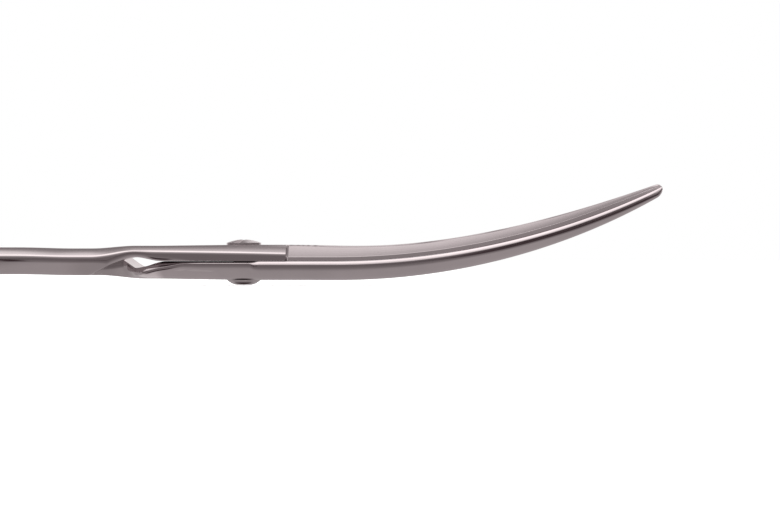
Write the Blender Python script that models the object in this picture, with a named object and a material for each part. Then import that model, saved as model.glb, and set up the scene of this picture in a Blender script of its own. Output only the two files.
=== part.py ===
"""Curved grooming scissors, modelled closed and lying level.

Frame: the origin is on the pivot axis, at the flat of the pivot's foot. +Z is up along the
pivot axis, +X runs to the tips and +Y away from the person who looks at the edge.
The thumb half is the upper one. Its shank is on the -Y side and its spine on the +Y side.
The finger half is the lower one, with its shank on the +Y side and its spine on the -Y side.
"""

import math
from collections import namedtuple

import bmesh
import bpy
from mathutils import Matrix, Vector

MM = 0.001

# Clearances
BLADE_GAP = 0.10 * MM          # between the flat inner faces of the two halves
SEAT_GAP = 0.12 * MM           # between a piece and the face that it rests on
FIT_GAP = 0.10 * MM            # all round a pin or barrel in its hole

# Pivot stack
FOOT_HEIGHT = 1.00 * MM
FOOT_DIAMETER = 7.0 * MM
FOOT_FLAT_DIAMETER = 2.6 * MM
FOOT_RIM = 0.06 * MM           # upright edge of the foot above its dome
THUMB_THICKNESS = 3.42 * MM    # of each half, at the pivot
FINGER_THICKNESS = 3.90 * MM
BARREL_DIAMETER = 4.4 * MM
BARREL_FLAT = 1.8 * MM         # from the pivot axis to the flat that stops the nut turning
THREAD_DIAMETER = 3.0 * MM
THREAD_POINT = 0.4 * MM        # chamfer at the screw's lower end
THREAD_END = 2.2 * MM          # height of the screw's lower end above the foot's flat
BORE_FLOOR = 0.6 * MM          # steel left under the thread's blind hole
HEAD_DIAMETER = 7.2 * MM
HEAD_RIM = 0.55 * MM
HEAD_DOME = 0.72 * MM
HEAD_SINK = 0.15 * MM          # the head's underside lies this far under the outer face
SLOT_WIDTH = 1.3 * MM
SLOT_DEPTH = 0.80 * MM
SLOT_TURN = math.radians(-20.0)
WASHER_DIAMETER = 6.0 * MM
NYLON_THICKNESS = 0.4 * MM
SPRING_THICKNESS = 0.3 * MM
SPRING_DISH = 0.15 * MM
BARREL_RELIEF = 0.3 * MM       # the barrel ends this far under the washers
BEARING_DIAMETER = 8.6 * MM
BEARING_THICKNESS = 0.3 * MM

# Blades
TIP_REACH = 87.0 * MM          # pivot axis to tip, level
BEND_START = 18.75 * MM        # where the blades begin to curve up
BEND_RADIUS = 158.0 * MM
SPINE_REACH = 6.9 * MM         # pivot axis to the spine, beside the pivot
HEEL_SPINE_REACH = 5.6 * MM    # the same at the eye
HEEL_SPINE_START = 8.0 * MM    # pivot axis to where it begins to draw in to that
BLADE_SPINE_REACH = 7.6 * MM   # and ahead of the pivot
FLANK_REACH = 7.0 * MM         # pivot axis to the other flank, which turns into the edge
THUMB_BLADE_THICKNESS = 2.91 * MM
FINGER_BLADE_THICKNESS = 4.03 * MM
BLADE_SETTLE = 28.0 * MM       # length past the shoulder over which the blade reaches that
THUMB_TIP_THICKNESS = 0.85 * MM
FINGER_TIP_THICKNESS = 1.5 * MM
TIP_WIDTH = 2.6 * MM
TIP_ROUND = 4.2 * MM           # stretch over which the plan draws in at the tip
FINGER_TIP_FACE_ROUND = 2.0 * MM  # and over which the finger half thins
THUMB_TIP_FACE_ROUND = 0.9 * MM  # the thumb half ends blunter
TIP_NARROWING = 0.35           # share of the width left at the very tip
THUMB_TAPER = 4.4              # power of the taper in thickness towards the tip
FINGER_TAPER = 2.6
WIDTH_TAPER = 1.7
SPINE_CHAMFER = 0.75 * MM      # rounded edge between the spine and the inner face
PIVOT_CHAMFER = 0.28 * MM      # the same beside the pivot
EYE_CHAMFER = 1.1 * MM         # and at the eye
HEEL_CHAMFER = 0.3 * MM        # and where the heel draws in behind it
HEEL_FADE = 2.0 * MM           # that change ends this far past the thumb half's apex
CHAMFER_START = 1.3 * MM       # the blade's wider one begins this far past the pivot axis
RELIEF_DEPTH = 0.22 * MM       # step in the inner face beside the spine, behind the pivot
RELIEF_WIDTH = 1.6 * MM
RELIEF_SLOPE = 1.2             # the step's far side, as a share of its width
SPINE_FACET = 0.85 * MM        # flat of the spine
CROWN_ASPECT = 2.25            # width for its height of the bevel from flank to outer face
CROWN_LEAN = 0.75              # share of its width that shapes how it leaves the flank
SPINE_CROWN_WIDTH = 4.4 * MM   # the same along the spine
BACK_LEAN = 0.5                # the same for the crown and the rounding of the spine
CROWN_ROOM = 0.62              # most that it takes of a blade's width
SPINE_CROWN_ROOM = 0.36        # and most that the spine's crown takes
FLANK_FACET = 1.74 * MM        # flat of the flank, above the inner face, at the pivot
FACET_SLOPE = 0.022            # how that flat narrows towards the shoulder, per length
UNDER_ROUND = 0.7 * MM         # rounding of the flank's edge at the inner face, over the eye
UNDER_ROUND_START = 7.0 * MM   # pivot axis to where that begins
RICASSO_END = 9.0 * MM         # pivot axis to the shoulder where the edge's grind begins
GRIND_RADIUS = 0.65 * MM       # plunge of the grind at the shoulder
EDGE_SETBACK = 0.55 * MM       # the grind leaves the edge this far inside the flank
EDGE_BEVEL = 0.85 * MM         # height of the small bevel at the cutting edge
EDGE_BEVEL_SHARE = 0.45        # most that it takes of the thickness, near the tip
EDGE_BEVEL_WIDTH = 0.12 * MM
EDGE_LAND = 0.15 * MM          # thickness left at the very edge
GRIND_ANGLE = math.radians(30.0)  # slope of the ground face to the inner face
TIP_GRIND_ANGLE = math.radians(26.0)  # the same at the tip
GRIND_HOLLOW = 0.035 * MM      # hollow of the ground face between edge bevel and crest
GRIND_ROOM = 0.5               # most that the ground face takes of a blade's width

# Eye and shanks
THUMB_HEEL_THICKNESS = 3.2 * MM  # over the eye
FINGER_HEEL_THICKNESS = 3.63 * MM
HEEL_LENGTH = 5.8 * MM         # length over which the spine side draws in to the shank
EYE_START = 17.3 * MM          # pivot axis to the eye's front corner
THUMB_EYE_START = 16.4 * MM    # where each half's hollow begins
FINGER_EYE_START = 16.0 * MM
THUMB_EYE_APEX = 22.0 * MM     # where each half's hollow over the eye is deepest
THUMB_EYE_RISE = 0.82 * MM
FINGER_EYE_APEX = 22.4 * MM
FINGER_EYE_RISE = 1.35 * MM
THUMB_RAMP_LENGTH = 9.5 * MM   # from the apex to where the shank has its full thickness
FINGER_RAMP_LENGTH = 5.6 * MM
THUMB_RAMP_POWER = 1.45        # how a ramp steepens from the apex on
FINGER_RAMP_POWER = 1.15
RAMP_SKEW = 1.7 * MM           # the finger half's ramp runs at a slant by this much
RAMP_SKEW_START = 15.5 * MM    # pivot axis to where that slant begins
RAMP_SKEW_FADE = 8.0 * MM      # length over which it fades along the shank
FINGER_NECK = 0.9 * MM         # the finger half's outside settles this far ahead of its ramp
SHANK_TOP = 2.67 * MM          # shank's upper side above the inner faces' plane
SHANK_DROP = 2.92 * MM         # shank's lower side below that plane
SHANK_LIFT = 0.21 * MM         # both shanks rise by this much towards their rings
SHANK_LIFT_START = 35.0 * MM   # pivot axis to where that begins and ends
SHANK_LIFT_END = 46.0 * MM
SHANK_SPLIT = 0.3 * MM         # between the two shanks behind the eye
SHANK_WIDTH = 5.6 * MM
SHANK_BOW = 0.4 * MM           # outward bow of a shank at its middle
SHANK_END_WIDTH = 4.0 * MM
SHANK_END_TAPER = 9.0 * MM     # length over which the shank thins into its ring
SHANK_END_SHARE = 0.72         # of the thickness, left inside the ring
SHANK_FACET = 0.95 * MM        # flat of a shank's outer side, above the parting plane
SHANK_FACET_LOW = 0.2 * MM     # and below it
SHANK_UNDER_WIDTH = 3.75 * MM  # of the crown under a shank's outer side
SHANK_CROWN_ASPECT = 2.62      # width for its height of the crown above it
SHANK_CROWN_LEAN = 0.68
SHANK_CROWN_ROOM = 0.79        # most that the crown takes of a shank's width
SHANK_ROUND_ROOM = 0.20        # and most that the inner side's rounding takes
SHANK_INNER_ROUND = 2.0 * MM   # rounding of a shank's inner side

# Rings and what they carry
RING_BACK = 91.0 * MM          # pivot axis to the back of the rings
RING_BORE = 23.0 * MM
RING_TUBE = 4.2 * MM           # width of the ring's bar
RING_SPACE = 3.2 * MM          # between the closed rings
RING_JOIN = math.radians(45.0)  # where a shank's middle enters its ring, from the inner side
INSERT_WALL = 1.0 * MM
INSERT_REACH = 0.8             # share of the ring's height that an insert covers
INSERT_LIP = 0.4               # how far its lips stand out, as a share of its wall
INSERT_FLAT = 0.6              # straight share of its inner side
BUMPER_DIAMETER = 4.2 * MM
BUMPER_SEAT = 0.25 * MM        # depth of the flat spot under the bumper
BUMPER_ROUND = 0.6 * MM
POST_DIAMETER = 1.6 * MM
POST_DEPTH = 2.0 * MM
POST_HEAD = 2.6 * MM
POST_HEAD_HEIGHT = 0.8 * MM
REST_ANGLE = math.radians(50.0)  # place of the finger rest on its ring, from straight back
REST_STUD_DIAMETER = 1.9 * MM
REST_STUD_DEPTH = 2.4 * MM
REST_SEAT = 0.45 * MM          # depth of the flat spot under the rest's collar
REST_BASE_DIAMETER = 3.6 * MM
REST_COLLAR = 0.8 * MM         # height of the collar
REST_NECK = 1.4 * MM           # height where the bent part begins
REST_WAIST_DIAMETER = 2.7 * MM
REST_TIP_DIAMETER = 3.7 * MM
REST_LENGTH = 18.0 * MM
REST_BEND = math.radians(48.0)
REST_SWELL = 0.35              # share of the length where it begins to swell to its tip

# Fineness of the facets
CORNER_STEPS = 4
DOME_STEPS = 5
FACE_STEPS = 3
INSERT_STEPS = 5
PLUNGE_SHARES = (1.01, 1.0, 0.9, 0.6, 0.0)  # of the plunge's radius, where it has stations
TIP_SHARES = (0.6, 0.35, 0.2, 0.1, 0.04, 0.01)  # and of the tip's rounding
ROUND_SEGMENTS = 36
RING_SEGMENTS = 44
TUBE_SEGMENTS = 12
SMALL_SEGMENTS = 16
SMOOTH_ANGLE = math.radians(35.0)  # edges sharper than this stay sharp in the shading
BLADE_SMOOTH_ANGLE = math.radians(28.0)
INSERT_SMOOTH_ANGLE = math.radians(50.0)

# Heights and places that follow from the sizes above
PARTING = FOOT_HEIGHT + FINGER_THICKNESS
TOP = PARTING + THUMB_THICKNESS
SCREW_SEAT = TOP - HEAD_SINK
STACK = NYLON_THICKNESS + SPRING_THICKNESS + SPRING_DISH + 2.0 * SEAT_GAP
COUNTERBORE_FLOOR = SCREW_SEAT - STACK
BARREL_TOP = COUNTERBORE_FLOOR - BARREL_RELIEF
BEARING_POCKET = BEARING_THICKNESS + 2.0 * SEAT_GAP - BLADE_GAP
RING_MIDDLE = 0.5 * (RING_BORE + RING_TUBE)
RING_X = -(RING_BACK - RING_MIDDLE - 0.5 * RING_TUBE)
RING_SIDE = 0.5 * RING_SPACE + 0.5 * RING_TUBE + RING_MIDDLE
RING_HEIGHT = SHANK_TOP + SHANK_DROP
RING_Z = PARTING + 0.5 * (SHANK_TOP - SHANK_DROP) + SHANK_LIFT
SHANK_END = -(RING_X + RING_MIDDLE * math.sin(RING_JOIN))
SHANK_END_SIDE = RING_SIDE - RING_MIDDLE * math.cos(RING_JOIN)
BEND_ANGLE = math.asin((TIP_REACH - BEND_START) / BEND_RADIUS)
BLADE_END = BEND_START + BEND_RADIUS * BEND_ANGLE
SHANK_ROOT = THUMB_EYE_APEX + THUMB_RAMP_LENGTH

# Section of a half at one place along it
Station = namedtuple("Station", "place inner outer top face low shank scale crest")

# One half of the pair: the side of Y that its shank is on, the direction of its outer face,
# its shank's height to either side of the plane between the halves, and its own sizes
Half = namedtuple("Half", [
    "side", "up", "outside", "inside", "thickness", "heel", "blade", "tip", "taper",
    "end", "eye", "apex", "rise", "ramp", "power", "skew", "neck",
])
THUMB = Half(
    side=-1.0, up=1.0, outside=SHANK_TOP, inside=SHANK_DROP,
    thickness=THUMB_THICKNESS, heel=THUMB_HEEL_THICKNESS, blade=THUMB_BLADE_THICKNESS,
    tip=THUMB_TIP_THICKNESS, taper=THUMB_TAPER, end=THUMB_TIP_FACE_ROUND,
    eye=THUMB_EYE_START, apex=THUMB_EYE_APEX, rise=THUMB_EYE_RISE, ramp=THUMB_RAMP_LENGTH,
    power=THUMB_RAMP_POWER, skew=0.0, neck=0.0,
)
FINGER = Half(
    side=1.0, up=-1.0, outside=SHANK_DROP, inside=SHANK_TOP,
    thickness=FINGER_THICKNESS, heel=FINGER_HEEL_THICKNESS, blade=FINGER_BLADE_THICKNESS,
    tip=FINGER_TIP_THICKNESS, taper=FINGER_TAPER, end=FINGER_TIP_FACE_ROUND,
    eye=FINGER_EYE_START, apex=FINGER_EYE_APEX, rise=FINGER_EYE_RISE, ramp=FINGER_RAMP_LENGTH,
    power=FINGER_RAMP_POWER, skew=RAMP_SKEW, neck=FINGER_NECK,
)


def clear_scene():
    for item in list(bpy.data.objects):
        bpy.data.objects.remove(item, do_unlink=True)


# Materials

def make_material(name, colour, metallic, roughness):
    material = bpy.data.materials.new(name)
    material.use_nodes = True
    shader = material.node_tree.nodes["Principled BSDF"]
    shader.inputs["Base Color"].default_value = (*colour, 1.0)
    shader.inputs["Metallic"].default_value = metallic
    shader.inputs["Roughness"].default_value = roughness
    return material


def polished_steel(name):
    return make_material(name, (0.60, 0.55, 0.56), 1.0, 0.16)


def spring_steel(name):
    return make_material(name, (0.48, 0.47, 0.46), 1.0, 0.30)


def nylon(name):
    return make_material(name, (0.78, 0.76, 0.70), 0.0, 0.45)


def rubber(name):
    return make_material(name, (0.025, 0.025, 0.028), 0.0, 0.60)


# Mesh helpers

def ease(value, start, end):
    """Smooth step from 0 at start to 1 at end."""
    share = (value - start) / (end - start)
    share = min(max(share, 0.0), 1.0)
    return share * share * (3.0 - 2.0 * share)


def mix(first, second, share):
    return first + (second - first) * share


def spread(start, end, count):
    return [mix(start, end, index / count) for index in range(count + 1)]


def loft(name, rings, joined=False):
    """Skin over rings of equal counts. Joined closes the last ring to the first."""
    mesh = bmesh.new()
    rows = [[mesh.verts.new(point) for point in ring] for ring in rings]
    pairs = list(zip(rows, rows[1:]))
    if joined:
        pairs.append((rows[-1], rows[0]))
    for first, second in pairs:
        for index in range(len(first)):
            after = (index + 1) % len(first)
            mesh.faces.new((first[index], first[after], second[after], second[index]))
    if not joined:
        mesh.faces.new(list(reversed(rows[0])))
        mesh.faces.new(rows[-1])
    bmesh.ops.recalc_face_normals(mesh, faces=mesh.faces)
    data = bpy.data.meshes.new(name)
    mesh.to_mesh(data)
    mesh.free()
    return data


def add_object(name, data, material=None, smooth=SMOOTH_ANGLE):
    item = bpy.data.objects.new(name, data)
    bpy.context.scene.collection.objects.link(item)
    if material is not None:
        data.materials.append(material)
        data.shade_smooth()
        data.set_sharp_from_angle(angle=smooth)
    return item


def circle(radius, height, segments, flat=None):
    """Ring of points about Z. A flat cuts the ring off at that distance on its +Y side."""
    points = []
    for index in range(segments):
        angle = 2.0 * math.pi * (index + 0.5) / segments
        side = radius * math.sin(angle)
        if flat is not None:
            side = min(side, flat)
        points.append(Vector((radius * math.cos(angle), side, height)))
    return points


def turned(name, profile, segments, joined=False):
    """Solid turned about Z from a profile of radius and height, and perhaps a flat."""
    rings = [circle(row[0], row[1], segments, *row[2:]) for row in profile]
    return loft(name, rings, joined)


def cut(target, cutter, operation="DIFFERENCE"):
    cutter.hide_render = True
    cutter.display_type = "WIRE"
    modifier = target.modifiers.new(cutter.name, "BOOLEAN")
    modifier.operation = operation
    modifier.solver = "EXACT"
    modifier.object = cutter


def parent_to(empty, items):
    for item in items:
        item.parent = empty


def add_empty(name):
    empty = bpy.data.objects.new(name, None)
    bpy.context.scene.collection.objects.link(empty)
    return empty


# Outline of one half. A place along it is its distance from the pivot, positive to the tip
# and measured along the bend. Side is positive towards the half's own shank and cutting
# edge. Rise is positive from the plane between the halves towards the half's outer face.

def taper_share(place, power):
    share = (place - RICASSO_END) / (BLADE_END - RICASSO_END)
    return max(share, 0.0) ** power


def tip_share(place, length):
    """Rounding of the last stretch of this length, from 1 to 0 at the tip."""
    left = min((BLADE_END - place) / length, 1.0)
    return math.sqrt(max(1.0 - (1.0 - left) ** 2, 0.0))


def setback_share(place):
    """How far the grind has come in from the flank, from 0 at the shoulder to 1."""
    back = min(max((RICASSO_END + GRIND_RADIUS - place) / GRIND_RADIUS, 0.0), 1.0)
    return math.sqrt(1.0 - back ** 2)


def ramp_end(half):
    return half.apex + half.ramp


def shank_share(place, half):
    return ease(-place, half.apex - half.neck, SHANK_ROOT - half.neck)


def end_share(place):
    """Thinning of a shank where it runs into its ring."""
    return mix(1.0, SHANK_END_SHARE, ease(-place, SHANK_END - SHANK_END_TAPER, SHANK_END))


def outer_rise(place, half):
    heel = mix(half.thickness, half.heel, min(max(-place / EYE_START, 0.0), 1.0))
    body = mix(heel, half.outside * end_share(place), shank_share(place, half))
    body = mix(body, half.blade, ease(place, RICASSO_END, RICASSO_END + BLADE_SETTLE))
    return mix(body, half.tip, taper_share(place, half.taper))


def hollow(place, half):
    """Arch of the inner face over the eye, then the ramp down the shank's inner side."""
    if -place <= half.apex:
        return half.rise * ease(-place, half.eye, half.apex)
    run = (-place - half.apex) / half.ramp
    return half.rise - (half.rise + 0.5 * RING_HEIGHT) * run ** half.power


def crossing(half):
    """Distance behind the pivot where a half's ramp passes the plane between the halves."""
    share = half.rise / (half.rise + 0.5 * RING_HEIGHT)
    return half.apex + half.ramp * share ** (1.0 / half.power)


def shank_middle(place):
    """Bowed centre line of a shank, from its root to the middle of its ring's bar."""
    root_side = 0.5 * SHANK_SPLIT + 0.5 * SHANK_WIDTH
    share = min(max((-place - SHANK_ROOT) / (SHANK_END - SHANK_ROOT), 0.0), 1.0)
    straight = mix(root_side, SHANK_END_SIDE, ease(share, 0.0, 1.0))
    return straight + SHANK_BOW * math.sin(math.pi * share) ** 2


def shank_width(place):
    share = (-place - SHANK_ROOT) / (SHANK_END - SHANK_ROOT)
    return mix(SHANK_WIDTH, SHANK_END_WIDTH, min(max(share, 0.0), 1.0))


def side_limits(place, half):
    """Spine side and edge side of a half. Its heel draws in ahead of the other's ramp."""
    taper = taper_share(place, WIDTH_TAPER)
    behind = mix(HEEL_SPINE_REACH, SPINE_REACH, ease(place, -EYE_START, -HEEL_SPINE_START))
    reach = mix(behind, BLADE_SPINE_REACH, ease(place, CHAMFER_START, 3.0 * CHAMFER_START))
    spine = -mix(reach, 0.5 * TIP_WIDTH, taper)
    flank = mix(FLANK_REACH, 0.5 * TIP_WIDTH, taper) - EDGE_SETBACK * setback_share(place)
    shank_inner = shank_middle(place) - 0.5 * shank_width(place)
    shank_outer = shank_middle(place) + 0.5 * shank_width(place)
    other = FINGER if half is THUMB else THUMB
    heel_end = crossing(other) - 0.5 * other.skew
    inner = mix(spine, shank_inner, ease(-place, heel_end - HEEL_LENGTH, heel_end))
    outer = mix(flank, shank_outer, ease(-place, EYE_START, SHANK_ROOT))
    narrowing = mix(TIP_NARROWING, 1.0, tip_share(place, TIP_ROUND))
    return inner * narrowing, outer * narrowing


def spine_chamfer(station):
    """Height of the rounded edge along the spine: wide at the eye, narrow at the pivot."""
    place = station.place
    drawn_in = ease(-place, EYE_START + HEEL_FADE, THUMB_EYE_APEX + HEEL_FADE)
    at_eye = mix(EYE_CHAMFER, HEEL_CHAMFER, drawn_in)
    at_pivot = mix(at_eye, PIVOT_CHAMFER, ease(place, -EYE_START, HEEL_LENGTH - EYE_START))
    height = mix(at_pivot, SPINE_CHAMFER, ease(place, CHAMFER_START, 2.0 * CHAMFER_START))
    return height * math.sqrt(station.scale)


def make_station(place, half):
    inner, outer = side_limits(place, half)
    top = outer_rise(place, half)
    shank = shank_share(place, half)
    low = -half.inside * end_share(place)
    room = mix(SPINE_CROWN_ROOM, SHANK_ROUND_ROOM, shank) * (outer - inner)
    return Station(
        place=place,
        inner=inner,
        outer=outer,
        top=top,
        face=max(0.5 * BLADE_GAP + hollow(place, half), low),
        low=low,
        shank=shank,
        scale=min(top / half.thickness, 1.0),
        crest=inner + min(mix(SPINE_CROWN_WIDTH, SHANK_INNER_ROUND, shank), room),
    )


def corner(flank, inset, face, height, lean):
    """Curve from a flank, at height short of the face, to the face, at inset from the flank.

    Inset and height are signed. Lean is how far the curve leans in where it leaves the flank.
    """
    points = []
    for index in range(CORNER_STEPS + 1):
        share = index / CORNER_STEPS
        before = (1.0 - share) ** 2
        between = 2.0 * share * (1.0 - share)
        after = share ** 2
        points.append((flank + between * lean + after * inset, face - height * before))
    return points


def bevel_rise(station):
    """Height of the small bevel at the cutting edge."""
    return min(EDGE_BEVEL, EDGE_BEVEL_SHARE * station.top)


def ground_width(station):
    angle = mix(GRIND_ANGLE, TIP_GRIND_ANGLE, taper_share(station.place, FINGER_TAPER))
    full = (station.top - bevel_rise(station)) / math.tan(angle)
    return min(full, GRIND_ROOM * (station.outer - station.inner))


def ground_rise(side, station):
    """Ground outer face, from the bevel at the cutting edge to its crest and on."""
    bevel = bevel_rise(station)
    bevel_side = station.outer - EDGE_BEVEL_WIDTH
    if side > bevel_side:
        land = 0.5 * BLADE_GAP + EDGE_LAND
        return mix(land, bevel, (station.outer - side) / (station.outer - bevel_side))
    share = (bevel_side - side) / ground_width(station)
    dip = 4.0 * GRIND_HOLLOW * share * max(1.0 - share, 0.0)
    return mix(bevel, station.top, share) - dip


def plunge_rise(station):
    """What the grind's shoulder leaves above the ground face."""
    back = (RICASSO_END + GRIND_RADIUS - station.place) / GRIND_RADIUS
    if back > 1.0 + 1e-6:
        return math.inf
    return GRIND_RADIUS * (1.0 - math.sqrt(max(1.0 - max(back, 0.0) ** 2, 0.0)))


def flank_facet(station):
    """Upper edge of the flank's flat."""
    blade = (FLANK_FACET - FACET_SLOPE * min(station.place, RICASSO_END)) * station.scale
    return mix(blade, SHANK_FACET * end_share(station.place), station.shank)


def crown_aspect(place):
    return mix(CROWN_ASPECT, SHANK_CROWN_ASPECT, ease(-place, SHANK_ROOT, SHANK_LIFT_END))


def flank_crown(station):
    """Facet and crown of the flank. On the blade its points move to the edge's bevel."""
    height = station.top - flank_facet(station)
    room = mix(CROWN_ROOM, SHANK_CROWN_ROOM, station.shank) * (station.outer - station.inner)
    inset = min(crown_aspect(station.place) * height, room)
    lean = mix(CROWN_LEAN, SHANK_CROWN_LEAN, station.shank) * inset
    crown = corner(station.outer, -inset, station.top, height, -lean)
    bevel_side = station.outer - EDGE_BEVEL_WIDTH
    crest_side = bevel_side - ground_width(station)
    bevelled = [station.outer] + spread(bevel_side, crest_side, CORNER_STEPS - 1)
    blade = ease(station.place, RICASSO_END, RICASSO_END + GRIND_RADIUS)
    return [
        (mix(side, ground_side, blade), rise)
        for (side, rise), ground_side in zip(crown, bevelled)
    ]


def round_share(place):
    """How far a shank's inner side has its rounding. It begins behind the ramps."""
    return ease(-place, SHANK_ROOT - HEEL_LENGTH, SHANK_ROOT + HEEL_LENGTH)


def inner_round(station):
    """Height of the rounding of a shank's inner side."""
    return SHANK_INNER_ROUND * end_share(station.place)


def spine_crown(station):
    """Crown over the spine, or rounding along a shank's inner side."""
    facet = max(station.face, 0.0) + spine_chamfer(station)
    facet += SPINE_FACET * math.sqrt(station.scale)
    height = mix(station.top - facet, inner_round(station), round_share(station.place))
    inset = station.crest - station.inner
    lean = BACK_LEAN * inset * (1.0 - station.shank)
    return corner(station.inner, inset, station.top, height, lean)


def relief_depth(station):
    ahead = ease(station.place, CHAMFER_START, 2.0 * CHAMFER_START)
    behind = ease(-station.place, EYE_START, THUMB_EYE_APEX)
    return RELIEF_DEPTH * (1.0 - ahead) * (1.0 - behind)


def spine_edge(station):
    """Rounded edge between the spine and the step in the inner face."""
    height = mix(spine_chamfer(station), inner_round(station), round_share(station.place))
    inset = min(height, SHANK_ROUND_ROOM * (station.outer - station.inner))
    lean = BACK_LEAN * inset * (1.0 - station.shank)
    return corner(station.inner, inset, station.face + relief_depth(station), -height, lean)


def relief_step(station, start, end):
    """Step from the relief beside the spine up to the inner face, between two sides."""
    width = min(RELIEF_WIDTH, (end - start) / 3.0)
    return [
        (start + width, station.face + relief_depth(station)),
        (start + RELIEF_SLOPE * width, station.face),
    ]


def flank_edge(station):
    """Edge between inner face and flank. It rounds over the eye and becomes a crown."""
    facet = -SHANK_FACET_LOW * end_share(station.place)
    crown = max(facet - station.face, 0.0)
    room = SHANK_CROWN_ROOM * (station.outer - station.inner)
    inset = min(SHANK_UNDER_WIDTH, room) * station.shank * crown / (facet - station.low)
    rounding = UNDER_ROUND * ease(-station.place, UNDER_ROUND_START, EYE_START)
    rounding = min(rounding, 0.5 * (flank_facet(station) - station.face))
    height = max(crown, rounding)
    inset = max(inset, rounding)
    return corner(station.outer, -inset, station.face, -height, -SHANK_CROWN_LEAN * inset)


def half_section(place, half):
    """Outline of one half at a place, as pairs of side and rise."""
    station = make_station(place, half)
    flank = flank_crown(station)
    spine = spine_crown(station)
    face = [(side, station.top) for side in spread(flank[-1][0], spine[-1][0], FACE_STEPS)]
    upper = []
    for side, rise in flank + face[1:-1]:
        upper.append((side, min(rise, ground_rise(side, station) + plunge_rise(station))))
    edge = spine_edge(station)
    far_edge = flank_edge(station)[::-1]
    step = relief_step(station, edge[-1][0], far_edge[0][0])
    outline = upper + spine[::-1] + edge + step + far_edge
    if place < 0.0:
        return outline
    base = 0.5 * BLADE_GAP
    left = tip_share(place, half.end)
    return [(side, base + (rise - base) * left) for side, rise in outline]


def skewed(place, side, half):
    """Place shifted across a half, so that its ramp runs at a slant."""
    inner, outer = side_limits(place, half)
    begun = ease(-place, RAMP_SKEW_START, half.apex)
    faded = ease(-place, ramp_end(half), ramp_end(half) + RAMP_SKEW_FADE)
    share = (side - inner) / (outer - inner)
    return place + half.skew * begun * (1.0 - faded) * share


def bent(place, side, rise, half):
    """World point of a place, side and rise."""
    up = half.up * rise
    angle = max(place - BEND_START, 0.0) / BEND_RADIUS
    run = min(place, BEND_START) + BEND_RADIUS * math.sin(angle)
    height = PARTING + BEND_RADIUS * (1.0 - math.cos(angle))
    height += SHANK_LIFT * ease(-place, SHANK_LIFT_START, SHANK_LIFT_END)
    return Vector((
        run - up * math.sin(angle),
        half.side * side,
        height + up * math.cos(angle),
    ))


def half_places(half):
    """Stations along a half, closer together where its form changes."""
    plunge = RICASSO_END + GRIND_RADIUS
    places = spread(-SHANK_END, -SHANK_END + SHANK_END_TAPER, 3)
    places += spread(places[-1], -SHANK_ROOT, 5)[1:]
    if ramp_end(half) < SHANK_ROOT:
        places += spread(-SHANK_ROOT, -ramp_end(half), 4)[1:]
    places += spread(places[-1], -half.apex, 8)[1:]
    places += spread(-half.apex, -half.eye, 4)[1:]
    places += spread(-half.eye, 0.0, 3)[1:]
    places += [CHAMFER_START, 2.0 * CHAMFER_START]
    places += [plunge - GRIND_RADIUS * share for share in PLUNGE_SHARES]
    places += spread(plunge, plunge + BLADE_SETTLE, 4)[1:]
    places += spread(places[-1], BLADE_END - TIP_ROUND, 12)[1:]
    places += [BLADE_END - TIP_ROUND * share for share in TIP_SHARES]
    return places


def half_body(name, half):
    rings = []
    for place in half_places(half):
        section = half_section(place, half)
        rings.append([
            bent(skewed(place, side, half), side, rise, half) for side, rise in section
        ])
    return loft(name, rings)


def ring_point(angle, along, across, half):
    """Point near a ring: angle from the ring's inner side, then radius and height."""
    return Vector((
        RING_X + along * math.sin(angle),
        half.side * (RING_SIDE - along * math.cos(angle)),
        RING_Z + across,
    ))


def ring_body(name, half):
    """Finger ring: an oval bar bent into a circle."""
    rings = []
    for index in range(RING_SEGMENTS):
        angle = 2.0 * math.pi * index / RING_SEGMENTS
        row = []
        for step in range(TUBE_SEGMENTS):
            turn = 2.0 * math.pi * (step + 0.5) / TUBE_SEGMENTS
            along = RING_MIDDLE + 0.5 * RING_TUBE * math.cos(turn)
            row.append(ring_point(angle, along, 0.5 * RING_HEIGHT * math.sin(turn), half))
        rings.append(row)
    return loft(name, rings, joined=True)


def steel_half(name, half):
    blade = add_object(name, half_body(name, half), polished_steel(name), BLADE_SMOOTH_ANGLE)
    ring = add_object(name + "_ring_shape", ring_body(name + "_ring_shape", half))
    cut(blade, ring, "UNION")
    return blade


# Pivot

def thumb_bore():
    """Barrel hole with the washers' counterbore and the screw head's flat seat above."""
    hole = 0.5 * BARREL_DIAMETER + FIT_GAP
    pocket = 0.5 * WASHER_DIAMETER + FIT_GAP
    seat = 0.5 * HEAD_DIAMETER + 2.0 * FIT_GAP
    above = TOP + THUMB_THICKNESS
    profile = (
        (hole, PARTING - 0.5 * FINGER_THICKNESS),
        (hole, COUNTERBORE_FLOOR),
        (pocket, COUNTERBORE_FLOOR),
        (pocket, SCREW_SEAT - SEAT_GAP),
        (seat, SCREW_SEAT - SEAT_GAP),
        (seat, above),
    )
    return add_object("thumb_bore", turned("thumb_bore", profile, ROUND_SEGMENTS))


def finger_bore():
    """Hole with a flat for the nut's barrel."""
    hole = 0.5 * BARREL_DIAMETER + FIT_GAP
    flat = BARREL_FLAT + FIT_GAP
    profile = (
        (hole, -FOOT_HEIGHT, flat),
        (hole, TOP, flat),
    )
    return add_object("finger_bore", turned("finger_bore", profile, ROUND_SEGMENTS))


def bearing_pocket():
    """Round pocket in the lower half's inner face."""
    radius = 0.5 * BEARING_DIAMETER + FIT_GAP
    face = PARTING - 0.5 * BLADE_GAP
    profile = (
        (radius, face - BEARING_POCKET),
        (radius, TOP),
    )
    return add_object("bearing_recess", turned("bearing_recess", profile, ROUND_SEGMENTS))


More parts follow.
